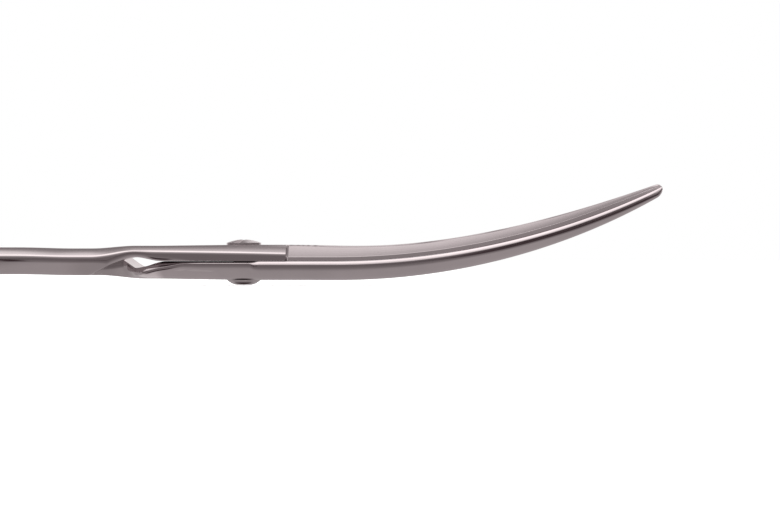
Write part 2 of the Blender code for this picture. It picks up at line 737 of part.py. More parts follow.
def make_pivot_nut():
    """Domed foot with a threaded barrel. The foot's flat stands at the origin."""
    foot = 0.5 * FOOT_DIAMETER
    flat_radius = 0.5 * FOOT_FLAT_DIAMETER
    barrel = 0.5 * BARREL_DIAMETER
    bore = 0.5 * THREAD_DIAMETER + FIT_GAP
    underside = FOOT_HEIGHT - SEAT_GAP
    profile = []
    for share in spread(0.0, 1.0, DOME_STEPS):
        profile.append((mix(flat_radius, foot, share), (underside - FOOT_RIM) * share ** 2))
    profile += [
        (foot, underside),
        (barrel, underside, BARREL_FLAT),
        (barrel, BARREL_TOP, BARREL_FLAT),
        (bore, BARREL_TOP),
        (bore, BORE_FLOOR),
    ]
    data = turned("pivot_nut", profile, ROUND_SEGMENTS)
    return add_object("pivot_nut", data, polished_steel("pivot_nut"))


def make_pivot_screw():
    """Coin-slotted screw. Its local origin is under its head, on the pivot axis."""
    head = 0.5 * HEAD_DIAMETER
    thread = 0.5 * THREAD_DIAMETER
    end = THREAD_END - SCREW_SEAT
    profile = [
        (thread - THREAD_POINT, end),
        (thread, end + THREAD_POINT),
        (thread, 0.0),
        (head, 0.0),
    ]
    for share in spread(1.0, 0.0, DOME_STEPS + 1)[:-1]:
        profile.append((head * share, HEAD_RIM + HEAD_DOME * (1.0 - share ** 2)))
    data = turned("pivot_screw", profile, ROUND_SEGMENTS)
    screw = add_object("pivot_screw", data, polished_steel("pivot_screw"))
    screw.location.z = SCREW_SEAT
    crown = HEAD_RIM + HEAD_DOME
    block = bmesh.new()
    size = (SLOT_WIDTH, 2.0 * HEAD_DIAMETER, 2.0 * SLOT_DEPTH)
    bmesh.ops.create_cube(block, size=1.0, matrix=Matrix.Diagonal((*size, 1.0)))
    slot_data = bpy.data.meshes.new("coin_slot")
    block.to_mesh(slot_data)
    block.free()
    slot = add_object("coin_slot", slot_data)
    slot.location.z = SCREW_SEAT + crown
    slot.rotation_euler.z = SLOT_TURN
    cut(screw, slot)
    return screw


def make_washer(name, material, diameter, hole, base, thickness, dish=0.0):
    """Flat washer, or with a dish a cone that is higher at its hole."""
    outer = 0.5 * diameter
    inner = 0.5 * hole + FIT_GAP
    profile = (
        (inner, dish),
        (outer, 0.0),
        (outer, thickness),
        (inner, dish + thickness),
    )
    data = turned(name, profile, ROUND_SEGMENTS, joined=True)
    washer = add_object(name, data, material)
    washer.location.z = base
    return washer


def make_pivot_washers():
    bearing_base = PARTING - 0.5 * BLADE_GAP - BEARING_POCKET + SEAT_GAP
    nylon_base = COUNTERBORE_FLOOR + SEAT_GAP
    spring_base = nylon_base + NYLON_THICKNESS + SEAT_GAP
    bearing = make_washer(
        "bearing_washer", nylon("bearing_washer"), BEARING_DIAMETER,
        BARREL_DIAMETER, bearing_base, BEARING_THICKNESS,
    )
    plain = make_washer(
        "nylon_washer", nylon("nylon_washer"), WASHER_DIAMETER,
        THREAD_DIAMETER, nylon_base, NYLON_THICKNESS,
    )
    spring = make_washer(
        "spring_washer", spring_steel("spring_washer"), WASHER_DIAMETER,
        THREAD_DIAMETER, spring_base, SPRING_THICKNESS, SPRING_DISH,
    )
    return bearing, plain, spring


# What the rings carry

def make_ring_insert(name, half):
    """Soft liner that follows the inner half of the ring's bar."""
    reach = 0.5 * RING_HEIGHT * INSERT_REACH
    outside = []
    for height in spread(-reach, reach, INSERT_STEPS):
        bar = 0.5 * RING_TUBE * math.sqrt(1.0 - (2.0 * height / RING_HEIGHT) ** 2)
        outside.append((RING_MIDDLE - bar - SEAT_GAP, height))
    inner = 0.5 * RING_BORE - SEAT_GAP - INSERT_WALL
    lip = INSERT_LIP * INSERT_WALL
    profile = outside + [
        (outside[-1][0] - lip, reach + lip),
        (inner + lip, reach),
        (inner, INSERT_FLAT * reach),
        (inner, -INSERT_FLAT * reach),
        (inner + lip, -reach),
        (outside[0][0] - lip, -reach - lip),
    ]
    data = turned(name, profile, RING_SEGMENTS, joined=True)
    insert = add_object(name, data, rubber(name), INSERT_SMOOTH_ANGLE)
    insert.location = (RING_X, half.side * RING_SIDE, RING_Z)
    return insert


def place_along(item, origin, direction):
    """Turn an object's own Z to a direction and set its place."""
    item.rotation_mode = "QUATERNION"
    item.rotation_quaternion = direction.to_track_quat("Z", "Y")
    item.location = origin


def make_bumper(finger_half):
    """Rubber stop on its stud, on a flat spot at the finger ring's inner side."""
    inward = Vector((0.0, -FINGER.side, 0.0))
    surface = ring_point(0.0, RING_MIDDLE + 0.5 * RING_TUBE, 0.0, FINGER)
    seat = surface - BUMPER_SEAT * inward
    pocket = (
        (0.5 * POST_DIAMETER + FIT_GAP, -POST_DEPTH - SEAT_GAP),
        (0.5 * POST_DIAMETER + FIT_GAP, 0.0),
        (0.5 * BUMPER_DIAMETER + 2.0 * FIT_GAP, 0.0),
        (0.5 * BUMPER_DIAMETER + 2.0 * FIT_GAP, 2.0 * RING_SPACE),
    )
    seat_cut = add_object("bumper_seat", turned("bumper_seat", pocket, SMALL_SEGMENTS))
    place_along(seat_cut, seat, inward)
    cut(finger_half, seat_cut)

    post_profile = (
        (0.5 * POST_DIAMETER, -POST_DEPTH),
        (0.5 * POST_DIAMETER, SEAT_GAP),
        (0.5 * POST_HEAD, SEAT_GAP),
        (0.5 * POST_HEAD, SEAT_GAP + POST_HEAD_HEIGHT),
    )
    post_data = turned("bumper_post", post_profile, SMALL_SEGMENTS)
    post = add_object("bumper_post", post_data, spring_steel("bumper_post"))
    place_along(post, seat, inward)

    outer = 0.5 * BUMPER_DIAMETER
    hollow_radius = 0.5 * POST_HEAD + FIT_GAP
    length = RING_SPACE + BUMPER_SEAT - SEAT_GAP
    cap_profile = (
        (hollow_radius, 2.0 * SEAT_GAP + POST_HEAD_HEIGHT),
        (hollow_radius, SEAT_GAP),
        (outer, SEAT_GAP),
        (outer, length - BUMPER_ROUND),
        (outer - 0.3 * BUMPER_ROUND, length - 0.3 * BUMPER_ROUND),
        (outer - BUMPER_ROUND, length),
    )
    cap_data = turned("bumper", cap_profile, SMALL_SEGMENTS)
    cap = add_object("bumper", cap_data, rubber("bumper"))
    place_along(cap, seat, inward)
    return post, cap


def rest_ring(share, radius):
    """Ring of the finger rest at a share of its bent length."""
    bend_radius = (REST_LENGTH - REST_NECK) / REST_BEND
    turn = REST_BEND * share
    centre = Vector((bend_radius * (1.0 - math.cos(turn)), 0.0,
                     REST_NECK + bend_radius * math.sin(turn)))
    tilt = Matrix.Rotation(turn, 3, "Y")
    return [centre + tilt @ point for point in circle(radius, 0.0, SMALL_SEGMENTS)]


def rest_rings():
    """Stud, collar, slender neck and swelling, rounded tip."""
    stud = 0.5 * REST_STUD_DIAMETER
    base = 0.5 * REST_BASE_DIAMETER
    waist = 0.5 * REST_WAIST_DIAMETER
    tip = 0.5 * REST_TIP_DIAMETER
    rings = [
        circle(stud, -REST_STUD_DEPTH, SMALL_SEGMENTS),
        circle(stud, SEAT_GAP, SMALL_SEGMENTS),
        circle(base, SEAT_GAP, SMALL_SEGMENTS),
        circle(base, SEAT_GAP + REST_COLLAR, SMALL_SEGMENTS),
    ]
    rounding = tip / (REST_LENGTH - REST_NECK)
    for share in spread(0.0, 1.0 - rounding, 2 * DOME_STEPS):
        rings.append(rest_ring(share, mix(waist, tip, ease(share, REST_SWELL, 1.0 - rounding))))
    for turn in spread(0.0, 0.5 * math.pi, DOME_STEPS)[1:-1]:
        share = 1.0 - rounding * (1.0 - math.sin(turn))
        rings.append(rest_ring(share, tip * math.cos(turn)))
    return rings


def make_finger_rest(finger_half):
    """Tapered hook, screwed into a flat spot on the finger ring's outer back."""
    angle = -(0.5 * math.pi + REST_ANGLE)
    outward = ring_point(angle, 1.0, 0.0, FINGER) - ring_point(angle, 0.0, 0.0, FINGER)
    seat = ring_point(angle, RING_MIDDLE + 0.5 * RING_TUBE - REST_SEAT, 0.0, FINGER)
    pocket = (
        (0.5 * REST_STUD_DIAMETER + FIT_GAP, -REST_STUD_DEPTH - SEAT_GAP),
        (0.5 * REST_STUD_DIAMETER + FIT_GAP, 0.0),
        (0.5 * REST_BASE_DIAMETER + 2.0 * FIT_GAP, 0.0),
        (0.5 * REST_BASE_DIAMETER + 2.0 * FIT_GAP, RING_TUBE),
    )
    seat_cut = add_object("rest_seat", turned("rest_seat", pocket, SMALL_SEGMENTS))
    place_along(seat_cut, seat, outward)
    cut(finger_half, seat_cut)

    material = polished_steel("finger_rest")
    rest = add_object("finger_rest", loft("finger_rest", rest_rings()), material)
    frame_z = outward.normalized()
    frame_y = Vector((0.0, 0.0, 1.0))
    frame_x = frame_y.cross(frame_z)
    basis = Matrix((frame_x, frame_y, frame_z)).transposed().to_4x4()
    rest.matrix_world = Matrix.Translation(seat) @ basis
    return rest


def build():
    clear_scene()
    finger_frame = add_empty("finger_half")
    thumb_frame = add_empty("thumb_half")
    screw_frame = add_empty("tension_screw")

    thumb = steel_half("thumb_blade", THUMB)
    cut(thumb, thumb_bore())
    finger = steel_half("finger_blade", FINGER)
    cut(finger, finger_bore())
    cut(finger, bearing_pocket())

    nut = make_pivot_nut()
    screw = make_pivot_screw()
    bearing, plain, spring = make_pivot_washers()
    post, cap = make_bumper(finger)
    rest = make_finger_rest(finger)
    thumb_insert = make_ring_insert("thumb_ring_insert", THUMB)
    finger_insert = make_ring_insert("finger_ring_insert", FINGER)

    parent_to(finger_frame, (finger, nut, bearing, post, cap, rest, finger_insert))
    parent_to(thumb_frame, (thumb, thumb_insert))
    parent_to(screw_frame, (screw, plain, spring))


build()
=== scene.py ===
"""Looks of the curved grooming scissors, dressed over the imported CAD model.

Lengths are in metres. +X runs to the tips, +Y away from the photograph's side, +Z up.
"""

from collections import namedtuple
from math import asin, cos, dist, hypot, inf, pi, radians, sin, sqrt, tan

import bmesh
import bpy
from mathutils import Matrix, Vector


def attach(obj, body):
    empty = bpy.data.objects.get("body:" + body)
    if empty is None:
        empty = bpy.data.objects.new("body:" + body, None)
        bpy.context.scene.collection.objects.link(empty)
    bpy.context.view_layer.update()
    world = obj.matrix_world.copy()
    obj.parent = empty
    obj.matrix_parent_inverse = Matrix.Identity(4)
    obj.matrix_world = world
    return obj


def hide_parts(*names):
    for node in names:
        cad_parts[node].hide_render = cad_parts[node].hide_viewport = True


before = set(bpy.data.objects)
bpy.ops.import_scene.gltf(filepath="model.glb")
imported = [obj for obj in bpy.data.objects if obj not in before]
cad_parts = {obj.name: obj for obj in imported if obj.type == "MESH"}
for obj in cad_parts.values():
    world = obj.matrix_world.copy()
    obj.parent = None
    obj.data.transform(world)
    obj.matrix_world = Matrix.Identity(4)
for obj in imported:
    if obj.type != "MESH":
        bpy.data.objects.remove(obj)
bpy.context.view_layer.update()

MM = 0.001

# Clearances, as in the CAD
BLADE_GAP = 0.10 * MM
SEAT_GAP = 0.12 * MM
FIT_GAP = 0.10 * MM

# Pivot stack
FOOT_HEIGHT = 1.00 * MM
FOOT_DIAMETER = 7.0 * MM
FOOT_FLAT_DIAMETER = 2.6 * MM
FOOT_RIM = 0.06 * MM
THUMB_THICKNESS = 3.42 * MM
FINGER_THICKNESS = 3.90 * MM
BARREL_DIAMETER = 4.4 * MM
BARREL_FLAT = 1.8 * MM
THREAD_DIAMETER = 3.0 * MM
THREAD_POINT = 0.4 * MM
THREAD_END = 2.2 * MM
BORE_FLOOR = 0.6 * MM
HEAD_DIAMETER = 7.2 * MM
HEAD_RIM = 0.55 * MM
HEAD_DOME = 0.72 * MM
HEAD_SINK = 0.15 * MM
SLOT_WIDTH = 1.3 * MM
SLOT_DEPTH = 0.80 * MM
SLOT_TURN = radians(-20.0)
WASHER_DIAMETER = 6.0 * MM
NYLON_THICKNESS = 0.4 * MM
SPRING_THICKNESS = 0.3 * MM
SPRING_DISH = 0.15 * MM
BARREL_RELIEF = 0.3 * MM
BEARING_DIAMETER = 8.6 * MM
BEARING_THICKNESS = 0.3 * MM

# Blades
TIP_REACH = 87.0 * MM
BEND_START = 18.75 * MM
BEND_RADIUS = 158.0 * MM
SPINE_REACH = 6.9 * MM
HEEL_SPINE_REACH = 5.6 * MM
HEEL_SPINE_START = 8.0 * MM
BLADE_SPINE_REACH = 7.6 * MM
FLANK_REACH = 7.0 * MM
BLADE_SETTLE = 28.0 * MM
TIP_WIDTH = 2.6 * MM
TIP_ROUND = 4.2 * MM
TIP_NARROWING = 0.35
FINGER_TAPER = 2.6
WIDTH_TAPER = 1.7
SPINE_CHAMFER = 0.75 * MM
PIVOT_CHAMFER = 0.28 * MM
EYE_CHAMFER = 1.1 * MM
HEEL_CHAMFER = 0.3 * MM
HEEL_FADE = 2.0 * MM
CHAMFER_START = 1.3 * MM
RELIEF_DEPTH = 0.22 * MM
RELIEF_WIDTH = 1.6 * MM
RELIEF_SLOPE = 1.2
SPINE_FACET = 0.85 * MM
CROWN_ASPECT = 2.25
CROWN_LEAN = 0.75
SPINE_CROWN_WIDTH = 4.4 * MM
BACK_LEAN = 0.5
CROWN_ROOM = 0.62
SPINE_CROWN_ROOM = 0.36
FLANK_FACET = 1.74 * MM
FACET_SLOPE = 0.022
UNDER_ROUND = 0.7 * MM
UNDER_ROUND_START = 7.0 * MM
RICASSO_END = 9.0 * MM
GRIND_RADIUS = 0.65 * MM
EDGE_SETBACK = 0.55 * MM
EDGE_BEVEL = 0.85 * MM
EDGE_BEVEL_SHARE = 0.45
EDGE_BEVEL_WIDTH = 0.12 * MM
GRIND_ANGLE = radians(30.0)
TIP_GRIND_ANGLE = radians(26.0)
GRIND_HOLLOW = 0.035 * MM
GRIND_ROOM = 0.5

# Eye and shanks
HEEL_LENGTH = 5.8 * MM
EYE_START = 17.3 * MM
THUMB_EYE_APEX = 22.0 * MM
THUMB_RAMP_LENGTH = 9.5 * MM
RAMP_SKEW_START = 15.5 * MM
RAMP_SKEW_FADE = 8.0 * MM
SHANK_TOP = 2.67 * MM
SHANK_DROP = 2.92 * MM
SHANK_LIFT = 0.21 * MM
SHANK_LIFT_START = 35.0 * MM
SHANK_LIFT_END = 46.0 * MM
SHANK_SPLIT = 0.3 * MM
SHANK_WIDTH = 5.6 * MM
SHANK_BOW = 0.4 * MM
SHANK_END_WIDTH = 4.0 * MM
SHANK_END_TAPER = 9.0 * MM
SHANK_END_SHARE = 0.72
SHANK_FACET = 0.95 * MM
SHANK_FACET_LOW = 0.2 * MM
SHANK_UNDER_WIDTH = 3.75 * MM
SHANK_CROWN_ASPECT = 2.62
SHANK_CROWN_LEAN = 0.68
SHANK_CROWN_ROOM = 0.79
SHANK_ROUND_ROOM = 0.20
SHANK_INNER_ROUND = 2.0 * MM

# Rings and what they carry
RING_BACK = 91.0 * MM
RING_BORE = 23.0 * MM
RING_TUBE = 4.2 * MM
RING_SPACE = 3.2 * MM
RING_JOIN = radians(45.0)
INSERT_WALL = 1.0 * MM
INSERT_REACH = 0.8
INSERT_LIP = 0.4
INSERT_FLAT = 0.6
BUMPER_DIAMETER = 4.2 * MM
BUMPER_SEAT = 0.25 * MM
POST_DIAMETER = 1.6 * MM
POST_DEPTH = 2.0 * MM
POST_HEAD = 2.6 * MM
POST_HEAD_HEIGHT = 0.8 * MM
REST_ANGLE = radians(50.0)
REST_STUD_DIAMETER = 1.9 * MM
REST_STUD_DEPTH = 2.4 * MM
REST_SEAT = 0.45 * MM
REST_BASE_DIAMETER = 3.6 * MM
REST_COLLAR = 0.8 * MM
REST_NECK = 1.4 * MM
REST_WAIST_DIAMETER = 2.7 * MM
REST_TIP_DIAMETER = 3.7 * MM
REST_LENGTH = 18.0 * MM
REST_BEND = radians(48.0)
REST_SWELL = 0.35

# Roundings and close fits that only the looks have
FACE_GAP = 0.02 * MM  # between the inner faces
FOOT_SEAT = 0.04 * MM  # the foot's rim is set into the rounded underside
CROWN_BREAK = 0.45 * MM  # where a flank's facet turns into its crown
EDGE_BREAK = 0.05 * MM  # along the inner face
GRIND_BREAK = 0.10 * MM  # where a ground face meets what it cuts
BEVEL_BREAK = 0.015 * MM  # along the cutting edge's small bevel
CROWN_FADE = 8.0 * MM  # past the plunge the flank's crown is ground away over this
KEEN_LAND = 0.05 * MM  # thickness left at the very edge
RAMP_BREAK = 0.35 * MM  # where a ramp runs out of a shank's underside
BREAK_ROOM = 0.45  # a rounding takes this share of a short line at most
FLANK_STRIP = 1.2 * MM  # width of the line that the small bevel turns into
JOIN_REACH = 5.2 * MM  # a shank's join to its ring is softened this far round it
JOIN_FADE = 0.35 * JOIN_REACH
JOIN_MERGE = 0.10 * MM
JOIN_PASSES = 60
MERGE = 0.001 * MM  # points closer than this are one

# Steps of the outline's curves, of its lines after resampling, and of what is turned
FLANK_STEPS, SPINE_STEPS, FACE_STEPS, BEVEL_STEPS = 26, 20, 12, 8
UNDER_STEPS, EDGE_STEPS, BREAK_STEPS = 16, 14, 6
OUTLINE_STEPS = (8, 6, 10, 80, 18, 3, 2, 18)
RING_SEGMENTS, TUBE_SEGMENTS, STUD_SEGMENTS = 150, 48, 48
PIVOT_SEGMENTS, BORE_SEGMENTS, BUMPER_SEGMENTS = 128, 96, 64

# Heights and places that follow from the sizes above
PARTING = FOOT_HEIGHT + FINGER_THICKNESS
TOP = PARTING + THUMB_THICKNESS
SCREW_SEAT = TOP - HEAD_SINK
STACK = NYLON_THICKNESS + SPRING_THICKNESS + SPRING_DISH + 2.0 * SEAT_GAP
COUNTERBORE_FLOOR = SCREW_SEAT - STACK
BARREL_TOP = COUNTERBORE_FLOOR - BARREL_RELIEF
BEARING_POCKET = BEARING_THICKNESS + 2.0 * SEAT_GAP - BLADE_GAP
RING_MIDDLE = 0.5 * (RING_BORE + RING_TUBE)
RING_X = -(RING_BACK - RING_MIDDLE - 0.5 * RING_TUBE)
RING_SIDE = 0.5 * RING_SPACE + 0.5 * RING_TUBE + RING_MIDDLE
RING_HEIGHT = SHANK_TOP + SHANK_DROP
RING_Z = PARTING + 0.5 * (SHANK_TOP - SHANK_DROP) + SHANK_LIFT
SHANK_END = -(RING_X + RING_MIDDLE * sin(RING_JOIN))
SHANK_END_SIDE = RING_SIDE - RING_MIDDLE * cos(RING_JOIN)
BEND_ANGLE = asin((TIP_REACH - BEND_START) / BEND_RADIUS)
BLADE_END = BEND_START + BEND_RADIUS * BEND_ANGLE
SHANK_ROOT = THUMB_EYE_APEX + THUMB_RAMP_LENGTH
PLUNGE_END = RICASSO_END + GRIND_RADIUS

Half = namedtuple("Half", "side up outside inside thickness heel blade tip taper "
                          "end eye apex rise ramp power skew neck")
Station = namedtuple("Station", "place inner outer top face low shank scale crest")

# Shank's reach out and in, thickness at the pivot, heel, blade and tip, taper's power, rounding
# of the tip's face, the eye's start, apex and rise, and the ramp's length, power, skew and neck
THUMB = Half(
    side=-1.0, up=1.0, outside=SHANK_TOP, inside=SHANK_DROP,
    thickness=THUMB_THICKNESS, heel=3.2 * MM, blade=2.91 * MM, tip=0.85 * MM, taper=4.4,
    end=0.9 * MM, eye=16.4 * MM, apex=THUMB_EYE_APEX, rise=0.82 * MM,
    ramp=THUMB_RAMP_LENGTH, power=1.45, skew=0.0, neck=0.0,
)
FINGER = Half(
    side=1.0, up=-1.0, outside=SHANK_DROP, inside=SHANK_TOP,
    thickness=FINGER_THICKNESS, heel=3.63 * MM, blade=4.03 * MM, tip=1.5 * MM,
    taper=FINGER_TAPER, end=2.0 * MM, eye=16.0 * MM, apex=22.4 * MM, rise=1.35 * MM,
    ramp=5.6 * MM, power=1.15, skew=1.7 * MM, neck=0.9 * MM,
)


# Small helpers

def clamped(share):
    return min(max(share, 0.0), 1.0)


def ease(value, start, end):
    """Smooth step from 0 at start to 1 at end."""
    share = clamped((value - start) / (end - start))
    return share * share * (3.0 - 2.0 * share)


def mix(first, second, share):
    return first + (second - first) * share


def spread(start, end, count):
    return [mix(start, end, index / count) for index in range(count + 1)]


def lesser(first, second, reach):
    """Lesser of two heights, rounded over where they meet."""
    near = max(reach - abs(first - second), 0.0) / reach
    return min(first, second) - 0.25 * reach * near * near


def greater(first, second, reach):
    return -lesser(-first, -second, reach)


def curved(first, middle, last, steps):
    """Curve that leaves first towards middle and reaches last from there."""
    points = []
    for share in spread(0.0, 1.0, steps):
        before = (1.0 - share) ** 2
        between = 2.0 * share * (1.0 - share)
        points.append(tuple(
            before * a + between * b + share ** 2 * c for a, b, c in zip(first, middle, last)
        ))
    return points


def halfway(first, second):
    return tuple(0.5 * (a + b) for a, b in zip(first, second))


# Outline of a half, as in the CAD and finer

def taper_share(place, power):
    share = (place - RICASSO_END) / (BLADE_END - RICASSO_END)
    return max(share, 0.0) ** power


def tip_share(place, length):
    left = min((BLADE_END - place) / length, 1.0)
    return sqrt(max(1.0 - (1.0 - left) ** 2, 0.0))


def setback_share(place):
    back = clamped((PLUNGE_END - place) / GRIND_RADIUS)
    return sqrt(1.0 - back ** 2)


def ramp_end(half):
    return half.apex + half.ramp


def shank_share(place, half):
    return ease(-place, half.apex - half.neck, SHANK_ROOT - half.neck)


def end_share(place):
    return mix(1.0, SHANK_END_SHARE, ease(-place, SHANK_END - SHANK_END_TAPER, SHANK_END))


def outer_rise(place, half):
    heel = mix(half.thickness, half.heel, clamped(-place / EYE_START))
    body = mix(heel, half.outside * end_share(place), shank_share(place, half))
    body = mix(body, half.blade, ease(place, RICASSO_END, RICASSO_END + BLADE_SETTLE))
    return mix(body, half.tip, taper_share(place, half.taper))


def hollow(place, half):
    if -place <= half.apex:
        return half.rise * ease(-place, half.eye, half.apex)
    run = (-place - half.apex) / half.ramp
    return half.rise - (half.rise + 0.5 * RING_HEIGHT) * run ** half.power


def crossing(half):
    share = half.rise / (half.rise + 0.5 * RING_HEIGHT)
    return half.apex + half.ramp * share ** (1.0 / half.power)


def along_shank(place):
    return clamped((-place - SHANK_ROOT) / (SHANK_END - SHANK_ROOT))


def shank_middle(place):
    root_side = 0.5 * SHANK_SPLIT + 0.5 * SHANK_WIDTH
    share = along_shank(place)
    straight = mix(root_side, SHANK_END_SIDE, ease(share, 0.0, 1.0))
    return straight + SHANK_BOW * sin(pi * share) ** 2


def shank_width(place):
    return mix(SHANK_WIDTH, SHANK_END_WIDTH, along_shank(place))


def side_limits(place, half):
    taper = taper_share(place, WIDTH_TAPER)
    behind = mix(HEEL_SPINE_REACH, SPINE_REACH, ease(place, -EYE_START, -HEEL_SPINE_START))
    reach = mix(behind, BLADE_SPINE_REACH, ease(place, CHAMFER_START, 3.0 * CHAMFER_START))
    spine = -mix(reach, 0.5 * TIP_WIDTH, taper)
    flank = mix(FLANK_REACH, 0.5 * TIP_WIDTH, taper) - EDGE_SETBACK * setback_share(place)
    shank_inner = shank_middle(place) - 0.5 * shank_width(place)
    shank_outer = shank_middle(place) + 0.5 * shank_width(place)
    other = FINGER if half is THUMB else THUMB
    heel_end = crossing(other) - 0.5 * other.skew
    inner = mix(spine, shank_inner, ease(-place, heel_end - HEEL_LENGTH, heel_end))
    outer = mix(flank, shank_outer, ease(-place, EYE_START, SHANK_ROOT))
    narrowing = mix(TIP_NARROWING, 1.0, tip_share(place, TIP_ROUND))
    return inner * narrowing, outer * narrowing


def round_share(place):
    return ease(-place, SHANK_ROOT - HEEL_LENGTH, SHANK_ROOT + HEEL_LENGTH)


def spine_chamfer(at):
    place = at.place
    drawn_in = ease(-place, EYE_START + HEEL_FADE, THUMB_EYE_APEX + HEEL_FADE)
    at_eye = mix(EYE_CHAMFER, HEEL_CHAMFER, drawn_in)
    at_pivot = mix(at_eye, PIVOT_CHAMFER, ease(place, -EYE_START, HEEL_LENGTH - EYE_START))
    height = mix(at_pivot, SPINE_CHAMFER, ease(place, CHAMFER_START, 2.0 * CHAMFER_START))
    return height * sqrt(at.scale)


def make_station(place, half):
    """What holds at one place along a half: its edges, heights and shares."""
    inner, outer = side_limits(place, half)
    top = outer_rise(place, half)
    shank = shank_share(place, half)
    low = -half.inside * end_share(place)
    face = greater(0.5 * FACE_GAP + hollow(place, half), low, RAMP_BREAK)
    scale = min(top / half.thickness, 1.0)
    room = mix(SPINE_CROWN_ROOM, SHANK_ROUND_ROOM, shank) * (outer - inner)
    crest = inner + min(mix(SPINE_CROWN_WIDTH, SHANK_INNER_ROUND, shank), room)
    return Station(place, inner, outer, top, face, low, shank, scale, crest)


def corner(flank, inset, face, height, lean, steps):
    """Curve from a flank, at height short of the face, to the face, at inset from it."""
    points = []
    for share in spread(0.0, 1.0, steps):
        before = (1.0 - share) ** 2
        between = 2.0 * share * (1.0 - share)
        points.append((flank + between * lean + share ** 2 * inset, face - height * before))
    return points


def ground_rise(side, at):
    """Ground outer face: the small bevel at the edge, then the hollow face to its crest."""
    bevel = min(EDGE_BEVEL, EDGE_BEVEL_SHARE * at.top)
    bevel_side = at.outer - EDGE_BEVEL_WIDTH
    land = 0.5 * FACE_GAP + KEEN_LAND
    steep = mix(land, bevel, (at.outer - side) / (at.outer - bevel_side))
    angle = mix(GRIND_ANGLE, TIP_GRIND_ANGLE, taper_share(at.place, FINGER_TAPER))
    width = (at.top - bevel) / tan(angle)
    width = min(width, GRIND_ROOM * (at.outer - at.inner))
    share = (bevel_side - side) / width
    dip = 4.0 * GRIND_HOLLOW * share * (1.0 - share)
    dip = dip if 0.0 < share < 1.0 else 0.0
    return lesser(steep, mix(bevel, at.top, share) - dip, BEVEL_BREAK)


def plunge_rise(place):
    back = (PLUNGE_END - place) / GRIND_RADIUS
    if back >= 1.0:
        return inf
    return GRIND_RADIUS * (1.0 - sqrt(max(1.0 - max(back, 0.0) ** 2, 0.0)))


def crown_aspect(place):
    return mix(CROWN_ASPECT, SHANK_CROWN_ASPECT, ease(-place, SHANK_ROOT, SHANK_LIFT_END))


def upper_line(at, facet, chamfer):
    """Crown, outer face and crown over the spine, cut by the grind."""
    facet = mix(facet, at.top, ease(at.place, PLUNGE_END, PLUNGE_END + CROWN_FADE))
    room = mix(CROWN_ROOM, SHANK_CROWN_ROOM, at.shank) * (at.outer - at.inner)
    inset = min(crown_aspect(at.place) * (at.top - facet), room)
    lean = mix(CROWN_LEAN, SHANK_CROWN_LEAN, at.shank) * inset
    flank = corner(at.outer, -inset, at.top, at.top - facet, -lean, FLANK_STEPS)
    spine_facet = max(at.face, 0.0) + chamfer + SPINE_FACET * sqrt(at.scale)
    inner_round = SHANK_INNER_ROUND * end_share(at.place)
    spine_height = mix(at.top - spine_facet, inner_round, round_share(at.place))
    spine_inset = at.crest - at.inner
    spine_lean = BACK_LEAN * spine_inset * (1.0 - at.shank)
    spine = corner(at.inner, spine_inset, at.top, spine_height, spine_lean, SPINE_STEPS)
    face = [(side, at.top) for side in spread(flank[-1][0], spine[-1][0], FACE_STEPS)]
    line = flank + face[1:-1] + spine[::-1]
    if at.place > RICASSO_END:
        end = at.outer - 2.0 * EDGE_BEVEL_WIDTH
        line = with_sides(line, spread(at.outer, end, BEVEL_STEPS))
    plunge = plunge_rise(at.place)
    return [
        (side, lesser(rise, ground_rise(side, at) + plunge, GRIND_BREAK))
        for side, rise in line
    ]


def point_at(side, first, second):
    share = (first[0] - side) / (first[0] - second[0])
    return side, mix(first[1], second[1], share)


def with_sides(line, sides):
    """The line with points added at these sides. Its sides fall from first to last."""
    merged = list(line)
    for side in sides:
        for first, second in zip(line, line[1:]):
            if first[0] > side > second[0]:
                merged.append(point_at(side, first, second))
                break
    return sorted(merged, key=lambda point: (-point[0], point[1]))


def lower_line(at, facet, facet_low):
    """Crown under a shank's outer side, which fades to a rounding over the eye."""
    crown = max(facet_low - at.face, 0.0)
    room = SHANK_CROWN_ROOM * (at.outer - at.inner)
    share = crown / (facet_low - at.low)
    rounding = UNDER_ROUND * ease(-at.place, UNDER_ROUND_START, EYE_START)
    rounding = min(rounding, 0.5 * (facet - at.face))
    height = max(crown, rounding)
    inset = max(min(SHANK_UNDER_WIDTH, room) * at.shank * share, rounding)
    lean = -SHANK_CROWN_LEAN * inset
    return corner(at.outer, -inset, at.face, -height, lean, UNDER_STEPS)[::-1]


def split_at(line, side):
    """Two parts of a line, before and after a side. Its sides fall from first to last."""
    for index, (first, second) in enumerate(zip(line, line[1:]), start=1):
        if first[0] > side >= second[0]:
            middle = point_at(side, first, second)
            return line[:index] + [middle], [middle] + line[index:]
    raise ValueError("side lies outside the line")


def length_of(line):
    return sum(dist(first, second) for first, second in zip(line, line[1:]))


def sampled(line, start, end, count):
    """Points at even steps along a line, from start to end as lengths along it."""
    points = []
    index = 0
    passed = 0.0
    step = dist(line[0], line[1])
    for goal in spread(start, end, count):
        while index < len(line) - 2 and passed + step < goal:
            passed += step
            index += 1
            step = dist(line[index], line[index + 1])
        share = clamped((goal - passed) / step) if step > 0.0 else 0.0
        first, second = line[index], line[index + 1]
        points.append((mix(first[0], second[0], share), mix(first[1], second[1], share)))
    return points


